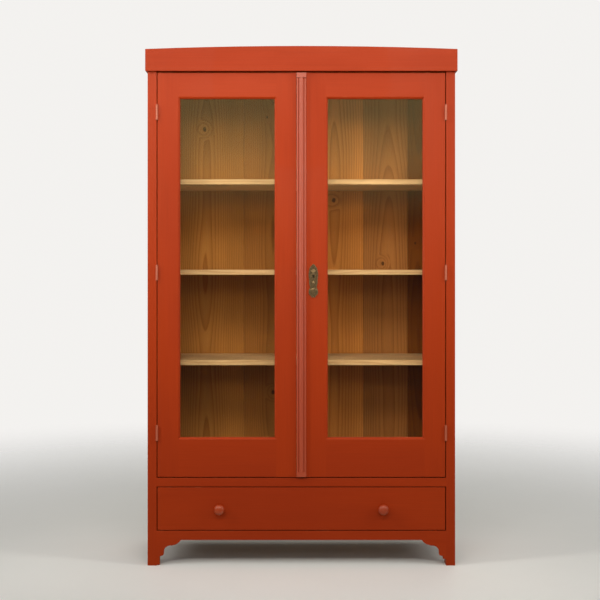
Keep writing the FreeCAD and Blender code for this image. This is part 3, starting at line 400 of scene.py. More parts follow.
class Tarnish(Effect):
    """Dull patches and fine pits of old metal."""

    name = "Tarnish"
    gives = ("Patches", "Pits")
    patch_waves = (380.0, 380.0, 380.0)
    patch_range = (0.25, 0.62)
    pit_waves = (1500.0, 1500.0, 1500.0)

    def lay(self, nodes: Nodes, given: NodeOutputs) -> dict[str, NodeSocket]:
        """Lays out patches of some millimetres and pits below one."""
        patches = nodes.spread(nodes.noise(given["Place"], self.patch_waves, 6.0), *self.patch_range)
        return {"Patches": patches, "Pits": nodes.noise(given["Place"], self.pit_waves, 3.0)}


# Finishes


class Finish:
    """What every finish shares: a material with one Principled shader."""

    roughness: float
    gloss_change: Pair

    @staticmethod
    def start(name: str) -> tuple[Material, Nodes, Node]:
        """Starts a new material.

        Args:
            name: the material's name.

        Returns:
            The material, its nodes and its Principled shader.
        """
        material = bpy.data.materials.new(name)
        material.use_nodes = True
        return material, Nodes(material.node_tree), material.node_tree.nodes["Principled BSDF"]

    @staticmethod
    def along_grain(nodes: Nodes, grain: Grain, offset: Vector) -> NodeSocket:
        """Turns the place on a piece so that its grain runs along Z.

        Args:
            nodes: the material's nodes.
            grain: the axes of the board.
            offset: the board's own shift of the pattern, in metres.

        Returns:
            The vector's socket.
        """
        parts = nodes.parts(nodes.place())
        turned = nodes.add("CombineXYZ", {i: parts[axis] for i, axis in enumerate(grain.value)})
        return nodes.add("Mapping", {"Vector": turned.outputs[0], "Location": offset}).outputs[0]

    @staticmethod
    def worn(nodes: Nodes, place: NodeSocket, amount: float) -> NodeSocket:
        """The arrises that handling has thinned, where the red paint also carries a painted highlight."""
        arris = nodes.add("Attribute", attribute_name="arris").outputs["Fac"]
        return ArrisWear().put(nodes, Place=place, Arris=arris, Amount=amount)["Worn"]

    def glosses(self) -> Pair:
        """The roughness of the glossiest and of the dullest places."""
        return self.roughness + self.gloss_change[0], self.roughness + self.gloss_change[1]


@dataclass(frozen=True)
class RedPaint(Finish):
    """Rust-red satin paint, brushed on wood or iron."""

    name: str = "red_paint"
    base: Colour = (0.345, 0.0340, 0.0046)
    thick: Colour = (0.310, 0.0290, 0.0038)
    # lighter, pinker red on the eased arrises: partly paint rubbed thin, partly a painted highlight along
    # the edges
    rubbed: Colour = (0.43, 0.085, 0.030)
    roughness: float = 0.42
    specular: float = 0.12
    wear: float = 0.42
    rubbed_and_highlight_share: float = 0.5
    rubbed_roughness: float = 0.12
    thick_range: Pair = (0.35, 0.7)
    streak_range: Pair = (0.25, 0.75)
    streak_shades: Pair = (0.95, 1.05)
    gloss_range: Pair = (0.3, 0.7)
    gloss_change: Pair = (-0.05, 0.06)
    grain_relief: float = 0.35
    relief: float = 0.18
    relief_depth: float = 0.35 * MM

    def material(self, name: str, grain: Grain, offset: Vector) -> Material:
        """Mixes the paint for boards of one grain.

        Args:
            name: the material's name.
            grain: the axes of the board, which the brush followed.
            offset: shift of the pattern.

        Returns:
            The material.
        """
        material, nodes, shader = self.start(name)
        place = self.along_grain(nodes, grain, offset)
        brush = BrushMarks().put(nodes, Place=place)
        pine = PineFigure().put(nodes, Place=place)
        worn = self.worn(nodes, place, self.wear)
        colour = nodes.blend(nodes.spread(brush["Clouds"], *self.thick_range), self.base, self.thick)
        streaks = nodes.spread(brush["Streaks"], *self.streak_range, *self.streak_shades)
        # arrises turn the lighter red: paint rubbed thin there, and a painted highlight along the edges
        rubbed = nodes.math("MULTIPLY", worn, self.rubbed_and_highlight_share)
        colour = nodes.blend(rubbed, nodes.shaded(colour, streaks), self.rubbed)
        gloss = nodes.spread(brush["Clouds"], *self.gloss_range, *self.glosses())
        height = nodes.math("MULTIPLY_ADD", pine["Rings"], -self.grain_relief, brush["Streaks"])
        nodes.dress(shader, Base_Color=colour, Specular_IOR_Level=self.specular,
                    Roughness=nodes.math("MULTIPLY_ADD", worn, self.rubbed_roughness, gloss),
                    Normal=nodes.bump(height, self.relief, self.relief_depth))
        return material


@dataclass(frozen=True)
class BarePine(Finish):
    """Unpainted old pine, darkened by age."""

    early: Colour = (0.40, 0.168, 0.034)
    late: Colour = (0.200, 0.062, 0.009)
    knot: Colour = (0.045, 0.013, 0.003)
    ring_width: float = 6.5 * MM
    pith_depth: float = 30 * MM
    knot_share: float = 0.42
    roughness: float = 0.55
    specular: float = 0.08
    ring_strength: float = 0.8
    knot_strength: float = 0.9
    shade_range: Pair = (0.25, 0.75)
    tone_shades: Pair = (0.80, 1.14)
    fibre_shades: Pair = (0.92, 1.07)
    wear: float = 0.55
    worn_share: float = 0.35
    gloss_range: Pair = (0.2, 0.8)
    gloss_change: Pair = (-0.07, 0.1)
    ring_relief: float = 0.5
    relief: float = 0.3
    relief_depth: float = 0.4 * MM

    def material(self, name: str, grain: Grain, offset: Vector) -> Material:
        """Makes the wood of one board, or of the boards of one grain.

        Args:
            name: the material's name.
            grain: the axes of the board.
            offset: shift that brings the middle of the board to the middle of the figure.

        Returns:
            The material.
        """
        material, nodes, shader = self.start(name)
        place = self.along_grain(nodes, grain, offset)
        pine = PineFigure().put(nodes, Place=place, Ring_Width=self.ring_width,
                                Pith_Depth=self.pith_depth, Knot_Share=self.knot_share)
        rings = nodes.math("MULTIPLY", pine["Rings"], self.ring_strength)
        colour = nodes.blend(rings, self.early, self.late)
        for part, shades in (("Tone", self.tone_shades), ("Fibres", self.fibre_shades)):
            colour = nodes.shaded(colour, nodes.spread(pine[part], *self.shade_range, *shades))
        knots = nodes.math("MULTIPLY", pine["Knots"], self.knot_strength)
        colour = nodes.blend(knots, colour, self.knot)
        worn = nodes.math("MULTIPLY", self.worn(nodes, place, self.wear), self.worn_share)
        height = nodes.math("MULTIPLY_ADD", pine["Rings"], self.ring_relief, pine["Fibres"])
        nodes.dress(shader, Base_Color=nodes.blend(worn, colour, self.late),
                    Roughness=nodes.spread(pine["Fibres"], *self.gloss_range, *self.glosses()),
                    Normal=nodes.bump(height, self.relief, self.relief_depth),
                    Specular_IOR_Level=self.specular)
        return material


@dataclass(frozen=True)
class DrawnGlass(Finish):
    """Clear old window glass with a slow ripple."""

    tint: Colour = (0.965, 0.975, 0.955)
    bend: float = 1.5
    ripple_waves: Triple = (9.0, 9.0, 3.5)
    seed_waves: Triple = (160.0, 160.0, 60.0)
    seed_range: Pair = (0.3, 0.9)
    film: Pair = (0.0, 0.02)
    ripple: float = 0.05
    ripple_depth: float = 4 * MM

    def material(self, name: str) -> Material:
        """Makes the glass of a pane, which lets lamps through to what is behind it.

        Args:
            name: the material's name.

        Returns:
            The material.
        """
        material, nodes, shader = self.start(name)
        place = nodes.place()
        tint = (*self.tint, 1.0)
        ripples = nodes.noise(place, self.ripple_waves, 2.0)
        seeds = nodes.noise(place, self.seed_waves, 1.0)
        nodes.dress(shader, Base_Color=tint, Roughness=nodes.spread(seeds, *self.seed_range, *self.film),
                    Normal=nodes.bump(ripples, self.ripple, self.ripple_depth),
                    IOR=self.bend, Transmission_Weight=1.0)
        clear = nodes.add("BsdfTransparent", {"Color": tint})
        lamp_ray = nodes.add("LightPath").outputs["Is Shadow Ray"]
        mix = nodes.add("MixShader", {0: lamp_ray, 1: shader.outputs[0], 2: clear.outputs[0]})
        nodes.dress(material.node_tree.nodes["Material Output"], Surface=mix.outputs[0])
        return material


@dataclass(frozen=True)
class OldMetal(Finish):
    """Brass or iron that has dulled in patches."""

    bright: Colour = (0.26, 0.186, 0.108)
    dull: Colour = (0.062, 0.046, 0.028)
    roughness: float = 0.42
    gloss_change: Pair = (-0.08, 0.2)
    metallic: float = 0.85
    wear: float = 0.7
    relief: float = 0.25
    relief_depth: float = 0.3 * MM

    def material(self, name: str) -> Material:
        """Makes the metal of one kind of fitting.

        Args:
            name: the material's name.

        Returns:
            The material.
        """
        material, nodes, shader = self.start(name)
        place = nodes.place()
        marks = Tarnish().put(nodes, Place=place)
        rubbed = self.worn(nodes, place, self.wear)
        patches = nodes.math("MULTIPLY", marks["Patches"], nodes.math("SUBTRACT", 1.0, rubbed))
        nodes.dress(shader, Base_Color=nodes.blend(patches, self.bright, self.dull),
                    Roughness=nodes.spread(patches, 0.0, 1.0, *self.glosses()),
                    Normal=nodes.bump(marks["Pits"], self.relief, self.relief_depth),
                    Metallic=self.metallic)
        return material


@dataclass(frozen=True)
class PaleFloor(Finish):
    """A pale floor that fades into the background."""

    light: Colour = (0.91, 0.945, 0.955)
    dark: Colour = (0.84, 0.87, 0.875)
    bounce: Colour = (0.30, 0.29, 0.27)
    cloud_waves: Triple = (1.4, 1.4, 1.4)
    grit_waves: Triple = (60.0, 60.0, 60.0)
    grit_range: Pair = (0.2, 0.8)
    grit_gloss: Pair = (0.45, 0.7)
    specular: float = 0.25
    fade: Pair = (0.46, 0.1)

    def material(self, name: str, size: float) -> Material:
        """Makes the floor, with less colour in the light that it throws back.

        Args:
            name: the material's name.
            size: the floor's width.

        Returns:
            The material.
        """
        material, nodes, shader = self.start(name)
        place = nodes.place()
        pale = nodes.blend(nodes.noise(place, self.cloud_waves, 6.0), self.light, self.dark)
        grit = nodes.noise(place, self.grit_waves, 3.0)
        glossy = nodes.add("LightPath").outputs["Is Glossy Ray"]
        seen = nodes.math("MAXIMUM", nodes.in_view(), glossy)
        reach = nodes.add("VectorMath", {0: place}, operation="LENGTH").outputs["Value"]
        nodes.dress(shader, Base_Color=nodes.blend(seen, self.bounce, pale),
                    Roughness=nodes.spread(grit, *self.grit_range, *self.grit_gloss),
                    Specular_IOR_Level=self.specular,
                    Alpha=nodes.spread(reach, *(share * size for share in self.fade)))
        return material


STRIP_PAINT = RedPaint("strip_paint", roughness=0.46, specular=0.9)
KNOB_PAINT = RedPaint("knob_paint", roughness=0.37, specular=0.55)
# lighter, pinker red than the case paint: a painted highlight on the hinge knuckles' round barrels
HINGE_PAINT = RedPaint("hinge_paint", (0.41, 0.107, 0.060), (0.365, 0.086, 0.046),
                       roughness=0.35, specular=0.5)
AGED_BRASS = OldMetal()
IRON = OldMetal((0.21, 0.20, 0.19), (0.07, 0.062, 0.055), 0.45)
SHELF_PINE = BarePine((0.57, 0.365, 0.188), (0.40, 0.210, 0.086), ring_width=5.8 * MM)
BACK_PINE = (
    BarePine(),
    BarePine((0.33, 0.132, 0.026), (0.180, 0.056, 0.009), pith_depth=50 * MM, ring_width=5.6 * MM),
    BarePine((0.58, 0.225, 0.046), (0.28, 0.085, 0.014), pith_depth=12 * MM, ring_width=8 * MM),
    BarePine((0.35, 0.138, 0.034), (0.18, 0.056, 0.011), pith_depth=36 * MM),
    # the darkest board: partly its own darker wood, partly painted shade from the case's right side
    BarePine((0.185, 0.052, 0.003), (0.10, 0.024, 0.001), pith_depth=60 * MM, ring_width=5 * MM),
)


# Making pieces


def to_mesh(name: str, bm: BMesh, *materials: Material) -> Mesh:
    """Turns a bmesh into a mesh.

    Args:
        name: the mesh's name.
        bm: the shape, which is freed.
        materials: the mesh's material slots.

    Returns:
        The mesh.
    """
    mesh = bpy.data.meshes.new(name)
    bm.to_mesh(mesh)
    bm.free()
    for material in materials:
        mesh.materials.append(material)
    return mesh


def show(name: str, data: ID) -> Object:
    """Puts a mesh, lamp or camera into the scene, at the origin.

    Args:
        name: the object's name.
        data: what it shows.

    Returns:
        The object.
    """
    shown = bpy.data.objects.new(name, data)
    bpy.context.scene.collection.objects.link(shown)
    return shown


@dataclass(frozen=True)
class Piece:
    """A piece of the scene and what it rides on, stands for and is finished with."""

    name: str
    body: str
    slot: str
    replaces: tuple[str, ...] = ()
    crease: float = 38.0

    def publish(self, bm: BMesh, *materials: Material) -> None:
        """Turns a finished bmesh into a piece of the scene.

        Args:
            bm: the shape, which is freed.
            materials: the piece's material slots.
        """
        for face in bm.faces:
            face.smooth = True
        for edge in bm.edges:
            edge.smooth = edge.calc_face_angle(math.pi) < math.radians(self.crease)
        piece = show(self.name, to_mesh(self.name, bm, *materials))
        weighted = piece.modifiers.new("weighted", "WEIGHTED_NORMAL")
        weighted.keep_sharp = True
        weighted.weight = 100
        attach(piece, self.body)
        if self.replaces:
            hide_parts(*self.replaces)
        LOG.info("%s on %s: %d faces", self.name, self.body, len(piece.data.polygons))


class Workshop:
    """Eases the sharp edges of CAD pieces, and leaves tight joints as they are."""

    touch = 0.35 * MM
    samples = (0.12, 0.5, 0.88)
    flat_angle = math.radians(0.4)
    least_angle = math.radians(24)
    least_length = 3
    straight_angle = 0.02
    onward_share = 0.8
    past_share = 0.6
    level_digits = 6
    plane_digits = 5

    def __init__(self, nodes: dict[str, Object]) -> None:
        """Keeps a box and a search tree of each node's surface.

        Args:
            nodes: the CAD nodes by name.
        """
        self.nodes = nodes
        self.boxes = {name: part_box(name) for name in nodes}
        self.trees = {name: self.tree(node.data) for name, node in nodes.items()}

    @staticmethod
    def tree(mesh: Mesh) -> BVHTree:
        """A search tree of a mesh."""
        return BVHTree.FromPolygons([v.co for v in mesh.vertices], [p.vertices for p in mesh.polygons])

    def neighbours(self, name: str) -> list[str]:
        """Finds the nodes whose boxes come within reach of a node's box.

        Args:
            name: the node.

        Returns:
            The names of its neighbours.
        """
        low, high = self.boxes[name]
        near = []
        for other, (other_low, other_high) in self.boxes.items():
            apart = max(max(other_low[i] - high[i], low[i] - other_high[i]) for i in range(3))
            if other != name and apart < self.touch:
                near.append(other)
        return near

    def copy(self, name: str) -> BMesh:
        """Copies a node's mesh, with its loose triangles merged into whole faces.

        Args:
            name: the node.

        Returns:
            The shape.
        """
        bm = bmesh.new()
        bm.from_mesh(self.nodes[name].data)
        bmesh.ops.remove_doubles(bm, verts=bm.verts, dist=MERGE)
        bmesh.ops.dissolve_limit(bm, angle_limit=self.flat_angle, verts=bm.verts, edges=bm.edges)
        return bm

    @staticmethod
    def cut(bm: BMesh, point: Vector, normal: Vector) -> None:
        """Cuts the faces of a whole shape along a plane."""
        bmesh.ops.bisect_plane(bm, geom=bm.verts[:] + bm.edges[:] + bm.faces[:],
                               dist=MERGE, plane_co=point, plane_no=normal)

    def cut_at_neighbours(self, bm: BMesh, name: str) -> None:
        """Cuts the faces of a long piece where its neighbours begin and end.

        Args:
            bm: the shape.
            name: the node that it came from.
        """
        low, high = self.boxes[name]
        axis = max(range(3), key=lambda i: high[i] - low[i])
        levels = sorted({round(level[axis], self.level_digits) for other in self.neighbours(name)
                         for level in self.boxes[other]})
        normal = Vector([float(i == axis) for i in range(3)])
        for level in levels:
            if low[axis] + MM < level < high[axis] - MM:
                self.cut(bm, normal * level, normal)

    def is_joint(self, edge: BMEdge, near: list[str]) -> bool:
        """Tells whether another piece lies tight against an edge.

        Args:
            edge: the edge.
            near: the nodes that may lie there.

        Returns:
            True where one of them does.
        """
        start, end = (vert.co for vert in edge.verts)
        points = [start.lerp(end, share) for share in self.samples]
        return all(any(self.trees[other].find_nearest(point, self.touch)[0] for other in near)
                   for point in points)

    def flows_on(self, edge: BMEdge, chosen: set[BMEdge]) -> bool:
        """Tells whether a chosen edge goes on smoothly from either end of an edge.

        Args:
            edge: the edge.
            chosen: the edges that it may go on into.

        Returns:
            True where one of them goes on.
        """
        for vert in edge.verts:
            way = (vert.co - edge.other_vert(vert).co).normalized()
            for other in vert.link_edges:
                onward = (other.other_vert(vert).co - vert.co).normalized()
                if other is not edge and other in chosen and way.dot(onward) > self.onward_share:
                    return True
        return False

    def open_edges(self, bm: BMesh, near: list[str], radius: float) -> list[BMEdge]:
        """Finds the convex edges that no neighbour covers and that are long enough to be eased.

        Args:
            bm: the shape.
            near: the nodes that may cover an edge.
            radius: width of the rounding.

        Returns:
            The edges.
        """
        chosen = {edge for edge in bm.edges
                  if edge.is_manifold and edge.is_convex
                  and edge.calc_face_angle() > self.least_angle
                  and not self.is_joint(edge, near)}
        least = self.least_length * radius
        return [edge for edge in chosen if edge.calc_length() > least or self.flows_on(edge, chosen)]

    def cut_past_ends(self, bm: BMesh, edges: list[BMEdge], reach: float) -> None:
        """Cuts a piece just past each eased edge that runs straight on into a joint.

        Args:
            bm: the shape.
            edges: the edges that will be eased.
            reach: how far past their ends.
        """
        eased = set(edges)
        planes = {}
        for edge in edges:
            for vert in edge.verts:
                way = (vert.co - edge.other_vert(vert).co).normalized()
                for other in vert.link_edges:
                    onward = other.other_vert(vert).co - vert.co
                    if other in eased or onward.length <= 2 * reach:
                        continue
                    if way.angle(onward) < self.straight_angle:
                        stop = vert.co + way * reach
                        plane = (*way, way.dot(stop))
                        planes[tuple(round(part, self.plane_digits) for part in plane)] = (stop, way)
        for stop, way in planes.values():
            self.cut(bm, stop, way)

    def ease(self, bm: BMesh, name: str, radius: float, steps: int = 3, at_joints: bool = False) -> None:
        """Rounds the open convex edges and marks the new faces as arrises.

        Args:
            bm: the shape.
            name: the node that it came from.
            radius: width of the rounding.
            steps: faces across the rounding.
            at_joints: whether edges against other pieces are rounded too.
        """
        near = [] if at_joints else self.neighbours(name)
        layer = bm.faces.layers.float.new("arris")
        self.cut_past_ends(bm, self.open_edges(bm, near, radius), self.past_share * radius)
        edges = self.open_edges(bm, near, radius)
        made = bmesh.ops.bevel(bm, geom=edges, offset=radius, offset_type="OFFSET", affect="EDGES",
                               segments=steps, profile=0.5, material=-1, clamp_overlap=True)
        for face in made["faces"]:
            face[layer] = 1.0


@dataclass(frozen=True)
class Board:
    """A wooden piece and the sides of it that are painted."""

    node: str
    grain: Grain
    painted: Sides = EVERY_SIDE
    radius: float = 1.3 * MM
    painted_below: float = 0.0
    painted_beyond: float = math.inf
    eased_joints: bool = False

    def is_painted(self, face: BMFace) -> bool:
        """Tells whether a face is painted.

        Args:
            face: a face of the board.

        Returns:
            True on a painted side, and where it is low or far out enough to be painted all round.
        """
        middle = face.calc_center_median()
        if middle.z < self.painted_below or abs(middle.x) > self.painted_beyond:
            return True
        return Side.of(face.normal) in self.painted


@dataclass
class Stock:
    """Paint and pine for every grain, mixed at their first use."""

    paint_finish: RedPaint = RedPaint()
    pine_finish: BarePine = BarePine()
    paint_shift: Triple = (0.011, 0.0, 0.37)
    pine_shift: Triple = (0.043, 0.0, 0.21)
    made: dict[str, Material] = field(default_factory=dict)

    def mixed(self, kind: str, finish: RedPaint | BarePine, grain: Grain, shift: Triple) -> Material:
        """Mixes one finish for one grain, or takes what is left of it.

        Args:
            kind: the start of the material's name.
            finish: what is mixed.
            grain: the axes of the boards.
            shift: shift of the pattern.

        Returns:
            The material.
        """
        name = f"{kind}_{grain.name.lower()}"
        if name not in self.made:
            self.made[name] = finish.material(name, grain, Vector(shift))
        return self.made[name]

    def paint(self, grain: Grain) -> Material:
        """The paint on boards of one grain."""
        return self.mixed(self.paint_finish.name, self.paint_finish, grain, self.paint_shift)

    def pine(self, grain: Grain) -> Material:
        """The pine of boards of one grain."""
        return self.mixed("pine", self.pine_finish, grain, self.pine_shift)

    @staticmethod
    def own_pine(board: Board, finish: BarePine, along: float) -> Material:
        """Makes pine for one board, with the figure centred on it.

        Args:
            board: the board.
            finish: its colour and figure.
            along: shift of the figure along the grain.

        Returns:
            The material.
        """
        low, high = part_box(board.node)
        middle = (low + high) / 2
        across, through = ("XYZ".index(axis) for axis in board.grain.value[:2])
        offset = Vector((-middle[across], -middle[through], along))
        return finish.material("pine_" + board.node, board.grain, offset)


@dataclass
class Joinery:
    """Turns CAD boards into eased, painted or bare pieces of wood."""

    shop: Workshop
    stock: Stock
    bodies: dict[str, str]
    slots: dict[str, str]

    def make(self, board: Board, bare: Material | None = None) -> None:
        """Makes one board.

        Args:
            board: what it is and how it is painted.
            bare: the wood of its bare sides, where it has its own.
        """
        bm = self.shop.copy(board.node)
        self.shop.cut_at_neighbours(bm, board.node)
        for face in bm.faces:
            face.material_index = 0 if board.is_painted(face) else 1
        self.shop.ease(bm, board.node, board.radius, at_joints=board.eased_joints)
        piece = Piece(board.node + "_wood", self.bodies[board.node], self.slots[board.node], (board.node,))
        piece.publish(bm, self.stock.paint(board.grain), bare or self.stock.pine(board.grain))

    def boards(self, nodes: list[str], grain: Grain, painted: Sides = EVERY_SIDE, **more: float) -> None:
        """Makes several boards of one grain, painted alike."""
        for node in nodes:
            self.make(Board(node, grain, painted, **more))


# Sub-assemblies


@dataclass
class Case:
    """Posts, sides, rails, boards, back and shelves of the cabinet."""

    joinery: Joinery
    leg_height: float = 93 * MM
    panel_margin: float = 0.1 * MM
    bracket_radius: float = 1.0 * MM
    shelf_radius: float = 1.6 * MM
    back_radius: float = 1.4 * MM
    back_step: float = 1.9
    shelf_step: float = 2.7
    shelves: int = 3

    def panel_face(self) -> float:
        """Distance of the side panels' outer faces from the middle."""
        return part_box("right_side_panels")[1].x - self.panel_margin

    def posts(self) -> None:
        """The four corner posts, bare towards the inside."""
        for hand, outer in OUTWARD.items():
            bare = (Side.FRONT, Side.of(-Vector(outer.value)))
            rear = tuple(side for side in ALL_BUT_BACK if side not in bare)
            for end, painted in (("front", ALL_BUT_BACK), ("rear", rear)):
                self.joinery.make(Board(f"{end}_{hand}_post", Grain.UPRIGHT_FRONT, painted,
                                        painted_below=self.leg_height, painted_beyond=self.panel_face()))

    def sides(self) -> None:
        """Side rails and panels, painted on their outer faces."""
        for hand, outer in OUTWARD.items():
            self.joinery.boards([f"{hand}_side_rails"], Grain.DEPTH_SIDE, (outer, Side.BOTTOM),
                                painted_beyond=self.panel_face())
            self.joinery.boards([f"{hand}_side_panels"], Grain.UPRIGHT_SIDE, (outer,))

    def rails(self) -> None:
        """Divider, apron, floor board and the brackets beside the feet."""
        self.joinery.boards(["divider_rail", "apron_rail"], Grain.LEVEL_FRONT, RAIL_SIDES)
        self.joinery.boards(["floor_board"], Grain.LEVEL_FLAT, (Side.FRONT,))
        self.joinery.boards(["left_foot_bracket", "right_foot_bracket"], Grain.LEVEL_FRONT,
                            ALL_BUT_BACK, radius=self.bracket_radius)

    def cap(self) -> None:
        """The cap, bare towards its well."""
        self.joinery.boards(["cap_front"], Grain.LEVEL_FRONT, RAIL_SIDES)
        for hand, outer in OUTWARD.items():
            self.joinery.boards([f"cap_{hand}_side"], Grain.DEPTH_SIDE, (outer, Side.TOP, Side.BOTTOM))

    def inside(self) -> None:
        """The bare boards and bars inside and behind."""
        bars = ["shelf_cleats", "drawer_runners", "drawer_kickers", "drawer_stops"]
        self.joinery.boards(["top_board"], Grain.LEVEL_FLAT, NO_SIDE)
        self.joinery.boards(["back_rail", "cap_back"], Grain.LEVEL_FRONT, NO_SIDE)
        self.joinery.boards(bars, Grain.DEPTH_FLAT, NO_SIDE)
        self.joinery.boards(["cap_blocks"], Grain.UPRIGHT_FRONT, NO_SIDE)

    def back_and_shelves(self) -> None:
        """Back boards and shelves, each with its own figure."""
        for number, wood in enumerate(BACK_PINE, 1):
            board = Board(f"back_board_{number}", Grain.UPRIGHT_FRONT, NO_SIDE, self.back_radius,
                          eased_joints=True)
            self.joinery.make(board, Stock.own_pine(board, wood, self.back_step * number))
        for number in range(1, self.shelves + 1):
            board = Board(f"shelf_{number}", Grain.LEVEL_FLAT, NO_SIDE, self.shelf_radius)
            self.joinery.make(board, Stock.own_pine(board, SHELF_PINE, self.shelf_step * number))

    def build(self) -> None:
        """Makes the whole case."""
        self.posts()
        self.sides()
        self.rails()
        self.cap()
        self.inside()
        self.back_and_shelves()


@dataclass
class GlazedDoor:
    """One door: its painted frame, beads and pane."""

    joinery: Joinery
    hand: str
    glass: Material
    bead_radius: float = 0.8 * MM

    def build(self) -> None:
        """Makes the frame and glazes it."""
        name = self.hand + "_door_"
        self.joinery.boards([name + "hinge_stile", name + "meeting_stile"], Grain.UPRIGHT_FRONT)
        self.joinery.boards([name + "top_rail", name + "bottom_rail"], Grain.LEVEL_FRONT)
        self.joinery.boards([name + "beads"], Grain.UPRIGHT_FRONT, radius=self.bead_radius)
        pane = frame["nodes"][name + "glass"]
        pane.data.materials.clear()
        pane.data.materials.append(self.glass)
        LOG.info("%sglass glazed", name)


@dataclass
class CoverStrip:
    """The reeded strip that covers the gap between the doors."""

    joinery: Joinery
    radius: float = 0.8 * MM

    def build(self) -> None:
        """Makes the strip."""
        self.joinery.boards(["cover_strip"], Grain.UPRIGHT_FRONT, radius=self.radius)


@dataclass
class Drawer:
    """The drawer: painted front and knobs, bare sides, back and bottom."""

    joinery: Joinery
    gloss: Material
    front_radius: float = 1.6 * MM
    bottom_radius: float = 0.6 * MM
    pin_radius: float = 7 * MM
    foot_radius: float = 13.3 * MM
    lip: float = 1.6 * MM
    neck_radius: float = 8.6 * MM
    neck_length: float = 7 * MM
    rim_radius: float = 19.5 * MM
    rim_height: float = 22 * MM
    rim_flare: float = 1.6
    knob_reach: float = 34 * MM
    lip_steps: int = 4
    neck_steps: int = 8
    head_steps: int = 12
    knob_steps: int = 40

    @staticmethod
    def quarter(steps: int) -> list[Pair]:
        """Sine and cosine at each step of a quarter turn."""
        turns = [math.pi / 2 * step / steps for step in range(1, steps + 1)]
        return [(math.sin(turn), math.cos(turn)) for turn in turns]

    def knob_profile(self, spigot: float) -> list[Pair]:
        """Draws half the outline of a knob, from the end of its spigot to the top of its head.

        Args:
            spigot: length of the pin through the drawer front.

        Returns:
            Radius and distance in front of the drawer, point by point.
        """
        pin, foot, lip = self.pin_radius, self.foot_radius, self.lip
        neck, rim, crown = self.neck_radius, self.rim_radius, self.rim_height
        shoulder, start, end = foot - lip, 2 * lip, 2 * lip + self.neck_length
        points = [(0, -spigot), (pin, -spigot), (pin, 0), (foot, 0), (foot, lip)]
        points += [(shoulder + lip * cos, lip * (1 + sin)) for sin, cos in self.quarter(self.lip_steps)]
        points += [(neck + (shoulder - neck) * (1 - sin), start + self.neck_length * (1 - cos))
                   for sin, cos in self.quarter(self.neck_steps)]
        points += [(neck + (rim - neck) * sin ** self.rim_flare, crown - (crown - end) * cos)
                   for sin, cos in self.quarter(self.neck_steps)]
        points += [(rim * cos, crown + (self.knob_reach - crown) * sin)
                   for sin, cos in self.quarter(self.head_steps)]
        return points

    def knobs(self) -> None:
        """Two turned knobs on spigots through the drawer front."""
        low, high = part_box("drawer_knobs")
        front, back = (corner.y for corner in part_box("drawer_front"))
        points = self.knob_profile(back - front)
        bm = bmesh.new()
        for x in (low.x + self.rim_radius, high.x - self.rim_radius):
            middle = Vector((x, front, (low.z + high.z) / 2))
            verts = bmesh.ops.create_vert(bm, co=middle + Vector((points[0][0], -points[0][1], 0)))["vert"]
            line = list(verts)
            for radius, proud in points[1:]:
                made = bmesh.ops.extrude_vert_indiv(bm, verts=verts)
                verts = made["verts"]
                verts[0].co = middle + Vector((radius, -proud, 0))
                line += made["edges"] + verts
            bmesh.ops.spin(bm, geom=line, cent=middle, axis=BACKWARDS, angle=math.tau,
                           steps=self.knob_steps, use_merge=True)
        bmesh.ops.remove_doubles(bm, verts=bm.verts, dist=MERGE)
        bmesh.ops.recalc_face_normals(bm, faces=bm.faces)
        Piece("drawer_knobs_wood", "drawer", "red_paint", ("drawer_knobs",)).publish(bm, self.gloss)

    def build(self) -> None:
        """Makes the drawer."""
        self.joinery.boards(["drawer_front"], Grain.LEVEL_FRONT, ALL_BUT_BACK, radius=self.front_radius)
        self.joinery.boards(["drawer_sides"], Grain.DEPTH_SIDE, NO_SIDE)
        self.joinery.boards(["drawer_back"], Grain.LEVEL_FRONT, NO_SIDE)
        self.joinery.boards(["drawer_bottom"], Grain.LEVEL_FLAT, NO_SIDE, radius=self.bottom_radius)
        self.knobs()


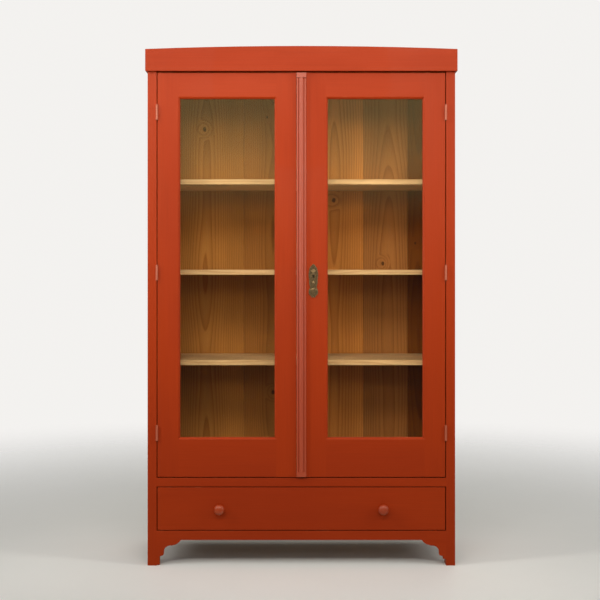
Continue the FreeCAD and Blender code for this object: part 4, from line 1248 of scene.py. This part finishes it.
@dataclass(frozen=True)
class Fastener:
    """A round head with or without a slot, made once and driven in many times."""

    name: str
    radius: float
    rise: float
    slot_width: float = 0.0
    segments: int = 14
    taper: float = 0.88
    rim: float = 0.18
    near_top: float = 0.99
    slot_depth: float = 0.8
    turn: float = 2.4

    def head(self) -> BMesh:
        """Makes one head at the origin, looking along Z and sunk to half its height.

        Returns:
            The shape.
        """
        bm = bmesh.new()
        bmesh.ops.create_cone(bm, cap_ends=True, segments=self.segments, radius1=self.radius,
                              radius2=self.radius * self.taper, depth=2 * self.rise)
        top = max(bm.faces, key=lambda face: face.calc_center_median().z)
        bmesh.ops.inset_region(bm, faces=[top], thickness=self.radius * self.rim)
        if self.slot_width:
            self.cut_slot(bm, top)
        return bm

    def cut_slot(self, bm: BMesh, top: BMFace) -> None:
        """Sinks a slot for the screwdriver into the top face.

        Args:
            bm: the head's shape.
            top: its top face.
        """
        faces = [top]
        for edge in (-self.slot_width / 2, self.slot_width / 2):
            geometry = {item for face in faces for item in (face, *face.edges, *face.verts)}
            bmesh.ops.bisect_plane(bm, geom=list(geometry), plane_co=(edge, 0, 0), plane_no=(1, 0, 0))
            high = [face for face in bm.faces if face.calc_center_median().z > self.near_top * self.rise]
            faces = [face for face in high if len(face.verts) > 4]
        slot = min(faces, key=lambda face: abs(face.calc_center_median().x))
        sunk = bmesh.ops.extrude_face_region(bm, geom=[slot])["geom"]
        verts = [item for item in sunk if isinstance(item, BMVert)]
        bmesh.ops.translate(bm, verts=verts, vec=(0, 0, -self.slot_depth * self.rise))

    def drive(self, places: Places) -> BMesh:
        """Puts a head at each place, every slot turned a little further than the last.

        Args:
            places: the middle of each head and the way that it looks.

        Returns:
            All heads in one shape.
        """
        pattern = to_mesh(self.name, self.head())
        bm = bmesh.new()
        for number, (middle, outward) in enumerate(places):
            first = len(bm.verts)
            bm.from_mesh(pattern)
            bm.verts.ensure_lookup_table()
            turn = Matrix.Rotation(self.turn * number, 4, "Z")
            aim = outward.to_track_quat("Z", "Y").to_matrix().to_4x4()
            bmesh.ops.transform(bm, matrix=Matrix.Translation(middle) @ aim @ turn, verts=bm.verts[first:])
        bpy.data.meshes.remove(pattern)
        return bm


@dataclass
class Hardware:
    """Hinges, lock, bolts, keyhole plate, screws and nails."""

    shop: Workshop
    bodies: dict[str, str]
    paint: Material
    brass: Material
    iron: Material
    eased_edge: float = 0.4 * MM
    hinge_length: float = 57 * MM
    leaf_width: float = 20 * MM
    screw_spacing: float = 19 * MM
    guide_thickness: float = 2 * MM
    guide_inset: float = 4 * MM
    guide_screws: Pair = (5 * MM, 91 * MM)
    lock_inset: float = 7 * MM
    nail_share: float = 0.22
    brad_inset: float = 5 * MM
    upright_brads: tuple[float, ...] = (0.1, 0.3, 0.5, 0.7, 0.9)
    level_brads: tuple[float, ...] = (0.2, 0.5, 0.8)
    plate_edge: float = 0.3 * MM
    plate_crease: float = 55.0
    plate_foot: float = 6 * MM
    keyhole_rise: float = 82 * MM
    fans: tuple[tuple[float, int, int], ...] = ((38 * MM, -1, 7), (66 * MM, -1, 3), (92 * MM, 1, 5))
    rib_size: Triple = (1.6 * MM, 1.2 * MM, 7 * MM)
    rib_out: float = 8.68 * MM
    rib_turn: float = math.radians(19)
    bead_size: Triple = (1.1 * MM, 0.9 * MM, 1.1 * MM)
    beads: int = 16
    bead_ring: float = 9.6 * MM
    bead_gap: float = 2.9 * MM
    ring_clear: float = 1.3
    border_width: float = 1.8 * MM
    border_slope: float = 0.1
    bead_segments: int = 8
    bead_rows: int = 6
    screw: Fastener = Fastener("screw", 3.2 * MM, 0.35 * MM, 0.9 * MM)
    small_screw: Fastener = Fastener("small_screw", 2.2 * MM, 0.35 * MM, 0.7 * MM)
    nail: Fastener = Fastener("nail", 2.6 * MM, 0.5 * MM)
    brad: Fastener = Fastener("brad", 1.1 * MM, 0.3 * MM, segments=8)

    def fittings(self) -> None:
        """Hinges, bolts and lock."""
        painted = ("case_hinge_leaves", "left_door_hinge_leaves", "right_door_hinge_leaves", "hinge_pins")
        bare = ("left_door_bolt_guides", "top_bolt", "bottom_bolt", "lock_case", "lock_bolt")
        for nodes, slot, material in ((painted, "painted_iron", self.paint), (bare, "iron", self.iron)):
            for node in nodes:
                bm = self.shop.copy(node)
                self.shop.ease(bm, node, self.eased_edge, 2)
                Piece(node + "_metal", self.bodies[node], slot, (node,)).publish(bm, material)

    def fasten(self, name: str, body: str, kind: Fastener, places: Places, painted: bool = False) -> None:
        """One group of fasteners, bare or painted over."""
        slot, material = ("painted_iron", self.paint) if painted else ("iron", self.iron)
        Piece(name, body, slot).publish(kind.drive(places), material)

    @staticmethod
    def ends(low: float, high: float, inset: float) -> Pair:
        """Two places at a distance inside both ends of a length."""
        return low + inset, high - inset

    def hinge_screws(self) -> None:
        """Three painted-over screws in each hinge leaf."""
        low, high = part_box("hinge_pins")
        first, last = self.ends(low.z, high.z, self.hinge_length / 2)
        heights = [hinge + step * self.screw_spacing for hinge in (first, (first + last) / 2, last)
                   for step in (-1, 0, 1)]
        in_case = []
        for hand, outer in OUTWARD.items():
            outward = Vector(outer.value)
            post_low, post_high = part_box(f"front_{hand}_post")
            stile_low, stile_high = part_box(f"{hand}_door_hinge_stile")
            depth = post_low.y + self.leaf_width / 2
            inner = post_low.x if outer is Side.RIGHT else post_high.x
            edge = stile_high.x if outer is Side.RIGHT else stile_low.x
            in_case += [(Vector((inner, depth, z)), -outward) for z in heights]
            in_door = [(Vector((edge, depth, z)), outward) for z in heights]
            self.fasten(f"{hand}_door_hinge_screws", f"{hand}_door", self.screw, in_door, painted=True)
        self.fasten("case_hinge_screws", "case", self.screw, in_case, painted=True)

    def bolt_screws(self) -> None:
        """Four screws in each bolt guide and four in the lock."""
        low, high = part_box("left_door_bolt_guides")
        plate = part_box("left_door_meeting_stile")[1].y + self.guide_thickness
        places = [(Vector((x, plate, start + way * along)), BACKWARDS)
                  for start, way in ((low.z, 1), (high.z, -1)) for along in self.guide_screws
                  for x in self.ends(low.x, high.x, self.guide_inset)]
        self.fasten("bolt_guide_screws", "left_door", self.small_screw, places)
        low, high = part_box("lock_case")
        corners = [(Vector((x, high.y, z)), BACKWARDS) for x in self.ends(low.x, high.x, self.lock_inset)
                   for z in self.ends(low.z, high.z, self.lock_inset)]
        self.fasten("lock_screws", "right_door", self.screw, corners)

    def back_nails(self) -> None:
        """Two nails through each back board into each board or rail that it crosses."""
        crossed = ("back_rail", "floor_board", "shelf_1", "shelf_2", "shelf_3", "top_board")
        levels = [sum(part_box(node), Vector()).z / 2 for node in crossed]
        places = []
        for number in range(1, len(BACK_PINE) + 1):
            low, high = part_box(f"back_board_{number}")
            columns = self.ends(low.x, high.x, self.nail_share * (high.x - low.x))
            places += [(Vector((x, high.y, z)), BACKWARDS) for x in columns for z in levels]
        self.fasten("back_nails", "case", self.nail, places)

    def bead_brads(self) -> None:
        """Small brads along the glazing beads."""
        for hand in OUTWARD:
            low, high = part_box(f"{hand}_door_beads")
            upright = [low.z + share * (high.z - low.z) for share in self.upright_brads]
            level = [low.x + share * (high.x - low.x) for share in self.level_brads]
            spots = [(x, z) for x in self.ends(low.x, high.x, self.brad_inset) for z in upright]
            spots += [(x, z) for z in self.ends(low.z, high.z, self.brad_inset) for x in level]
            places = [(Vector((x, high.y, z)), BACKWARDS) for x, z in spots]
            self.fasten(f"{hand}_door_bead_brads", f"{hand}_door", self.brad, places)

    def keyhole_plate(self) -> None:
        """The keyhole plate, with fans of ribs and beads round its edge and its keyhole."""
        node = "keyhole_plate"
        bm = self.shop.copy(node)
        facing = [face for face in bm.faces if Side.of(face.normal) is Side.FRONT]
        plane = max(facing, key=lambda face: face.calc_area()).calc_center_median().y
        low, high = self.shop.boxes[node]
        foot = Vector(((low.x + high.x) / 2, plane, low.z))
        keyhole = foot + Vector((0, 0, self.keyhole_rise))
        border = [spot for spot in self.border(bm, keyhole) if spot.z > foot.z + self.plate_foot]
        self.shop.ease(bm, node, self.plate_edge, 2)
        for rise, way, ribs in self.fans:
            root = foot + Vector((0, 0, rise))
            for number in range(ribs):
                turn = self.rib_turn * (number - (ribs - 1) / 2)
                self.rib(bm, root, turn, way * self.rib_out, self.rib_size)
        for number in range(1, self.beads):
            self.rib(bm, keyhole, math.pi + math.tau * number / self.beads, self.bead_ring, self.bead_size)
        for spot in border:
            self.rib(bm, spot, 0.0, 0.0, self.bead_size)
        piece = Piece(node + "_metal", self.bodies[node], "aged_brass", (node,), self.plate_crease)
        piece.publish(bm, self.brass)

    def border(self, bm: BMesh, keyhole: Vector) -> list[Vector]:
        """Sets out a row of beads just inside the edge of the keyhole plate.

        Args:
            bm: the plate's shape.
            keyhole: the middle of its keyhole.

        Returns:
            The middle of each bead.
        """
        spots: list[Vector] = []
        ring = self.ring_clear * self.bead_ring
        for face in bm.faces:
            spot = face.calc_center_median() - face.normal * self.border_width
            spot.y = keyhole.y
            clear = all((spot - other).length > self.bead_gap for other in spots)
            if abs(face.normal.y) < self.border_slope and (spot - keyhole).length > ring and clear:
                spots.append(spot)
        return spots

    def rib(self, bm: BMesh, root: Vector, turn: float, out: float, size: Triple) -> None:
        """Raises one rib or bead on the keyhole plate.

        Args:
            bm: the plate's shape.
            root: the point that it is turned round.
            turn: its turn from upright.
            out: distance of its middle from the root.
            size: half its width, depth and length.
        """
        layer = bm.faces.layers.float["arris"]
        place = (Matrix.Translation(root) @ Matrix.Rotation(turn, 4, "Y")
                 @ Matrix.Translation((0, 0, out)) @ Matrix.Diagonal((*size, 1)))
        made = bmesh.ops.create_uvsphere(bm, u_segments=self.bead_segments, v_segments=self.bead_rows,
                                         radius=1.0, matrix=place)
        for face in {face for vert in made["verts"] for face in vert.link_faces}:
            face[layer] = 1.0

    def build(self) -> None:
        """Makes all fittings and fasteners."""
        self.fittings()
        self.keyhole_plate()
        self.hinge_screws()
        self.bolt_screws()
        self.back_nails()
        self.bead_brads()


# Studio


@dataclass(frozen=True)
class Lamp:
    """A soft rectangular lamp."""

    name: str
    place: Triple
    target: Triple
    size: Pair
    power: float
    spread: float = 100.0
    mirrored: bool = True
    colour: Colour = (1.0, 0.935, 0.82)

    def hang(self) -> None:
        """Hangs the lamp in its place and points it at its target."""
        data = bpy.data.lights.new(self.name, "AREA")
        data.shape = "RECTANGLE"
        data.size, data.size_y = self.size
        data.energy = self.power
        data.color = self.colour
        data.spread = math.radians(self.spread)
        lamp = show(self.name, data)
        lamp.location = self.place
        lamp.rotation_euler = (Vector(self.target) - Vector(self.place)).to_track_quat("-Z", "Y").to_euler()
        lamp.visible_glossy = lamp.visible_transmission = self.mirrored


@dataclass(frozen=True)
class Surroundings:
    """A room that is brighter above than below, and darker behind the cabinet."""

    below: Colour
    above: Colour
    rise: Pair
    behind: float
    turn: Pair = (0.2, -0.2)

    def light(self, nodes: Nodes) -> NodeSocket:
        """Lays out the light that comes from each way.

        Args:
            nodes: the world's nodes.

        Returns:
            The colour's socket.
        """
        way = nodes.parts(nodes.place("Generated"))
        level = nodes.blend(nodes.spread(way["Z"], *self.rise), self.below, self.above)
        return nodes.shaded(level, nodes.spread(way["Y"], *self.turn, self.behind, 1.0))


@dataclass
class Studio:
    """Floor, background, lamps and camera."""

    pale: Colour = (0.90, 0.885, 0.865)
    mirrored: Surroundings = Surroundings((0.045, 0.038, 0.032), (1.0, 0.77, 0.33), (0.035, 0.11), 0.2)
    scattered: Surroundings = Surroundings((0.27, 0.25, 0.225), (0.5, 0.5, 0.5), (0.0, 0.5), 0.5)
    floor_finish: PaleFloor = PaleFloor()
    floor_size: float = 9.0
    floor_drop: float = 0.2 * MM
    floor_segments: int = 96
    camera_place: Triple = (-0.005, -4.398, 1.0766)
    lens: float = 68.7
    sensor: float = 36.0
    shift: Pair = (0.0, -0.0467)
    lamps: tuple[Lamp, ...] = (
        Lamp("high_front", (-0.2, -3.1, 2.95), (0, 0, 1.6), (2.8, 0.9), 20.5),
        Lamp("left_side", (-1.8, -1.0, 1.85), (0, 0, 1.3), (0.4, 2.0), 8.0),
        Lamp("right_side", (1.8, -1.0, 1.85), (0, 0, 1.3), (0.4, 2.0), 6.0),
        Lamp("high_back", (0.8, 2.9, 3.4), (0, 0, 1.0), (2.5, 1.5), 9),
        Lamp("window", (0, -4.0, 2.1), (0, 0, 1.8), (2.6, 0.8), 6.5, 50, mirrored=False),
    )

    def world(self) -> None:
        """A pale background, with one room for mirrored light and one for scattered light."""
        world = bpy.data.worlds.new("studio")
        bpy.context.scene.world = world
        world.use_nodes = True
        world.node_tree.nodes.clear()
        nodes = Nodes(world.node_tree)
        path = nodes.add("LightPath").outputs
        glossy = nodes.math("GREATER_THAN", path["Glossy Depth"], 0.5)
        glossy = nodes.math("MAXIMUM", path["Is Glossy Ray"], glossy)
        colour = nodes.blend(glossy, self.scattered.light(nodes), self.mirrored.light(nodes))
        colour = nodes.blend(nodes.in_view(), colour, self.pale)
        sky = nodes.add("Background", {"Color": colour, "Strength": 1.0})
        nodes.add("OutputWorld", {"Surface": sky.outputs[0]})

    def floor(self) -> None:
        """Lays the floor under the cabinet."""
        bm = bmesh.new()
        bmesh.ops.create_circle(bm, cap_ends=True, segments=self.floor_segments, radius=self.floor_size / 2)
        bmesh.ops.translate(bm, verts=bm.verts, vec=(0, 0, -self.floor_drop))
        material = self.floor_finish.material("pale_floor", self.floor_size)
        floor = show("floor", to_mesh("floor", bm, material))

    def camera(self) -> None:
        """A level camera in front of the cabinet."""
        data = bpy.data.cameras.new("camera")
        data.lens = self.lens
        data.sensor_width = self.sensor
        data.shift_x, data.shift_y = self.shift
        camera = show("camera", data)
        camera.location = self.camera_place
        camera.rotation_euler = (math.radians(90), 0, 0)
        bpy.context.scene.camera = camera

    def build(self) -> None:
        """Sets up the whole studio."""
        self.world()
        self.floor()
        for lamp in self.lamps:
            lamp.hang()
        self.camera()
        bpy.context.scene.view_settings.view_transform = "Standard"


def main() -> None:
    """Builds the cabinet from the case outwards, then the studio."""
    logging.basicConfig(level=logging.INFO, format="%(name)s: %(message)s")
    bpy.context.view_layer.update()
    record = frame["record"]
    bodies = {node: body for body, nodes in record["behaviour"]["bodies"].items() for node in nodes}
    slots = {part["node"]: part["material_slot"] for part in record["subparts"]}
    shop = Workshop(frame["nodes"])
    joinery = Joinery(shop, Stock(), bodies, slots)
    Case(joinery).build()
    glass = DrawnGlass().material("drawn_glass")
    for hand in OUTWARD:
        GlazedDoor(joinery, hand, glass).build()
    CoverStrip(Joinery(shop, Stock(STRIP_PAINT), bodies, slots)).build()
    knob_paint, hinge_paint = (paint.material(paint.name, Grain.UPRIGHT_FRONT, Vector())
                               for paint in (KNOB_PAINT, HINGE_PAINT))
    Drawer(joinery, knob_paint).build()
    brass, iron = AGED_BRASS.material("aged_brass"), IRON.material("iron")
    Hardware(shop, bodies, hinge_paint, brass, iron).build()
    Studio().build()


if __name__ == "__main__":
    main()
